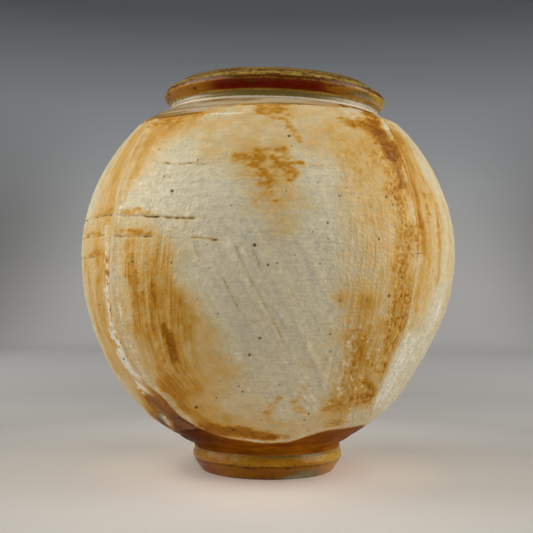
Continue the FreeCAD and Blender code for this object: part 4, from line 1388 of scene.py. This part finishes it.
def backdrop_paper():
    """Paper that runs from warm to grey, with a painted pool of light round the jar's foot, and painted shade
    darkening the floor far to the sides where the side lamps fall.
    """
    m = Paint("pale_backdrop")
    parts = m.node("SeparateXYZ", {0: m.node("TexCoord", {}, "Object")})
    x, y, z = (Value(m, output) for output in parts.socket.node.outputs)
    path = m.calc("SQRT", m.calc("POWER", x, 2.0) + m.calc("POWER", y, 2.0)) + z
    tint = m.ramp(m.calc("DIVIDE", path, STAGE_TOP), BACKDROP)
    # Painted shade: the floor far to the sides is darkened where the side lamps light it.
    side_shade = m.ranged(m.calc("ABSOLUTE", x), 0.5, 0.95) * m.ranged(z, 0.25, 0.9, 0.55, 0.0)
    m.shade({"Base Color": m.mix(1.0, tint, 1.0 - side_shade, "MULTIPLY"), "Roughness": 0.6,
             "Specular IOR Level": 0.25})
    return m.material


def stage_sheet():
    floor = np.linspace(0.0, STAGE_FLAT, 24)[1:]
    bend = np.linspace(0.0, math.pi / 2, 20)[1:]
    wall = np.linspace(STAGE_CURVE, STAGE_TOP, 9)[1:]
    radii = [floor, STAGE_FLAT + STAGE_CURVE * np.sin(bend), 0.0 * wall + STAGE_FLAT + STAGE_CURVE]
    levels = [0.0 * floor, STAGE_CURVE * (1.0 - np.cos(bend)), wall]
    radii, levels = np.concatenate(radii)[:, None], np.concatenate(levels)[:, None]
    angle = np.radians(np.linspace(0, 360, 128, endpoint=False))[None, :]
    points = np.stack([radii * np.cos(angle), radii * np.sin(angle), levels + 0.0 * angle], -1)
    rows, count = points.shape[:2]
    vertices = np.concatenate([points.reshape(-1, 3), [[0.0, 0.0, 0.0]]])
    fan = [(rows * count, k, (k + 1) % count) for k in range(count)]
    faces = [tuple(f) for f in quads(rows, count, True)[:, ::-1].tolist()] + fan
    mesh = bpy.data.meshes.new("stage_sheet")
    mesh.from_pydata(vertices.tolist(), [], faces)
    mesh.polygons.foreach_set("use_smooth", np.ones(len(mesh.polygons), bool))
    sheet = bpy.data.objects.new("stage_sheet", mesh)
    bpy.context.scene.collection.objects.link(sheet)
    mesh.materials.append(backdrop_paper())


stage_sheet()


JAR_MIDDLE = Vector((0.0, 0.0, 0.14))


def soft_light(name, where, size, power, glossy=True):
    data = bpy.data.lights.new(name, "AREA")
    data.shape = "RECTANGLE"
    data.size, data.size_y = size
    data.energy = power
    lamp = bpy.data.objects.new(name, data)
    bpy.context.scene.collection.objects.link(lamp)
    lamp.location = where
    lamp.rotation_euler = (JAR_MIDDLE - Vector(where)).to_track_quat("-Z", "Y").to_euler()
    lamp.visible_camera = False
    lamp.visible_glossy = glossy


soft_light("left_window", (-1.2, -0.1, 0.88), (1.0, 1.3), 17.5)
soft_light("right_window", (1.25, -0.05, 0.75), (0.9, 1.2), 15.0)
soft_light("front_fill", (0.1, -1.6, 1.4), (1.6, 1.2), 8.0, glossy=False)

soft_light("left_strip", (-0.95, -0.83, 0.5), (0.35, 0.35), 1.6)
soft_light("right_strip", (1.15, -0.5, 0.5), (0.35, 0.35), 2.2)

world = bpy.data.worlds.new("studio_air")
bpy.context.scene.world = world
world.use_nodes = True
air = world.node_tree.nodes["Background"].inputs
air["Color"].default_value = (1.0, 0.97, 0.92, 1.0)
air["Strength"].default_value = 0.27
bpy.context.scene.view_settings.view_transform = "Standard"
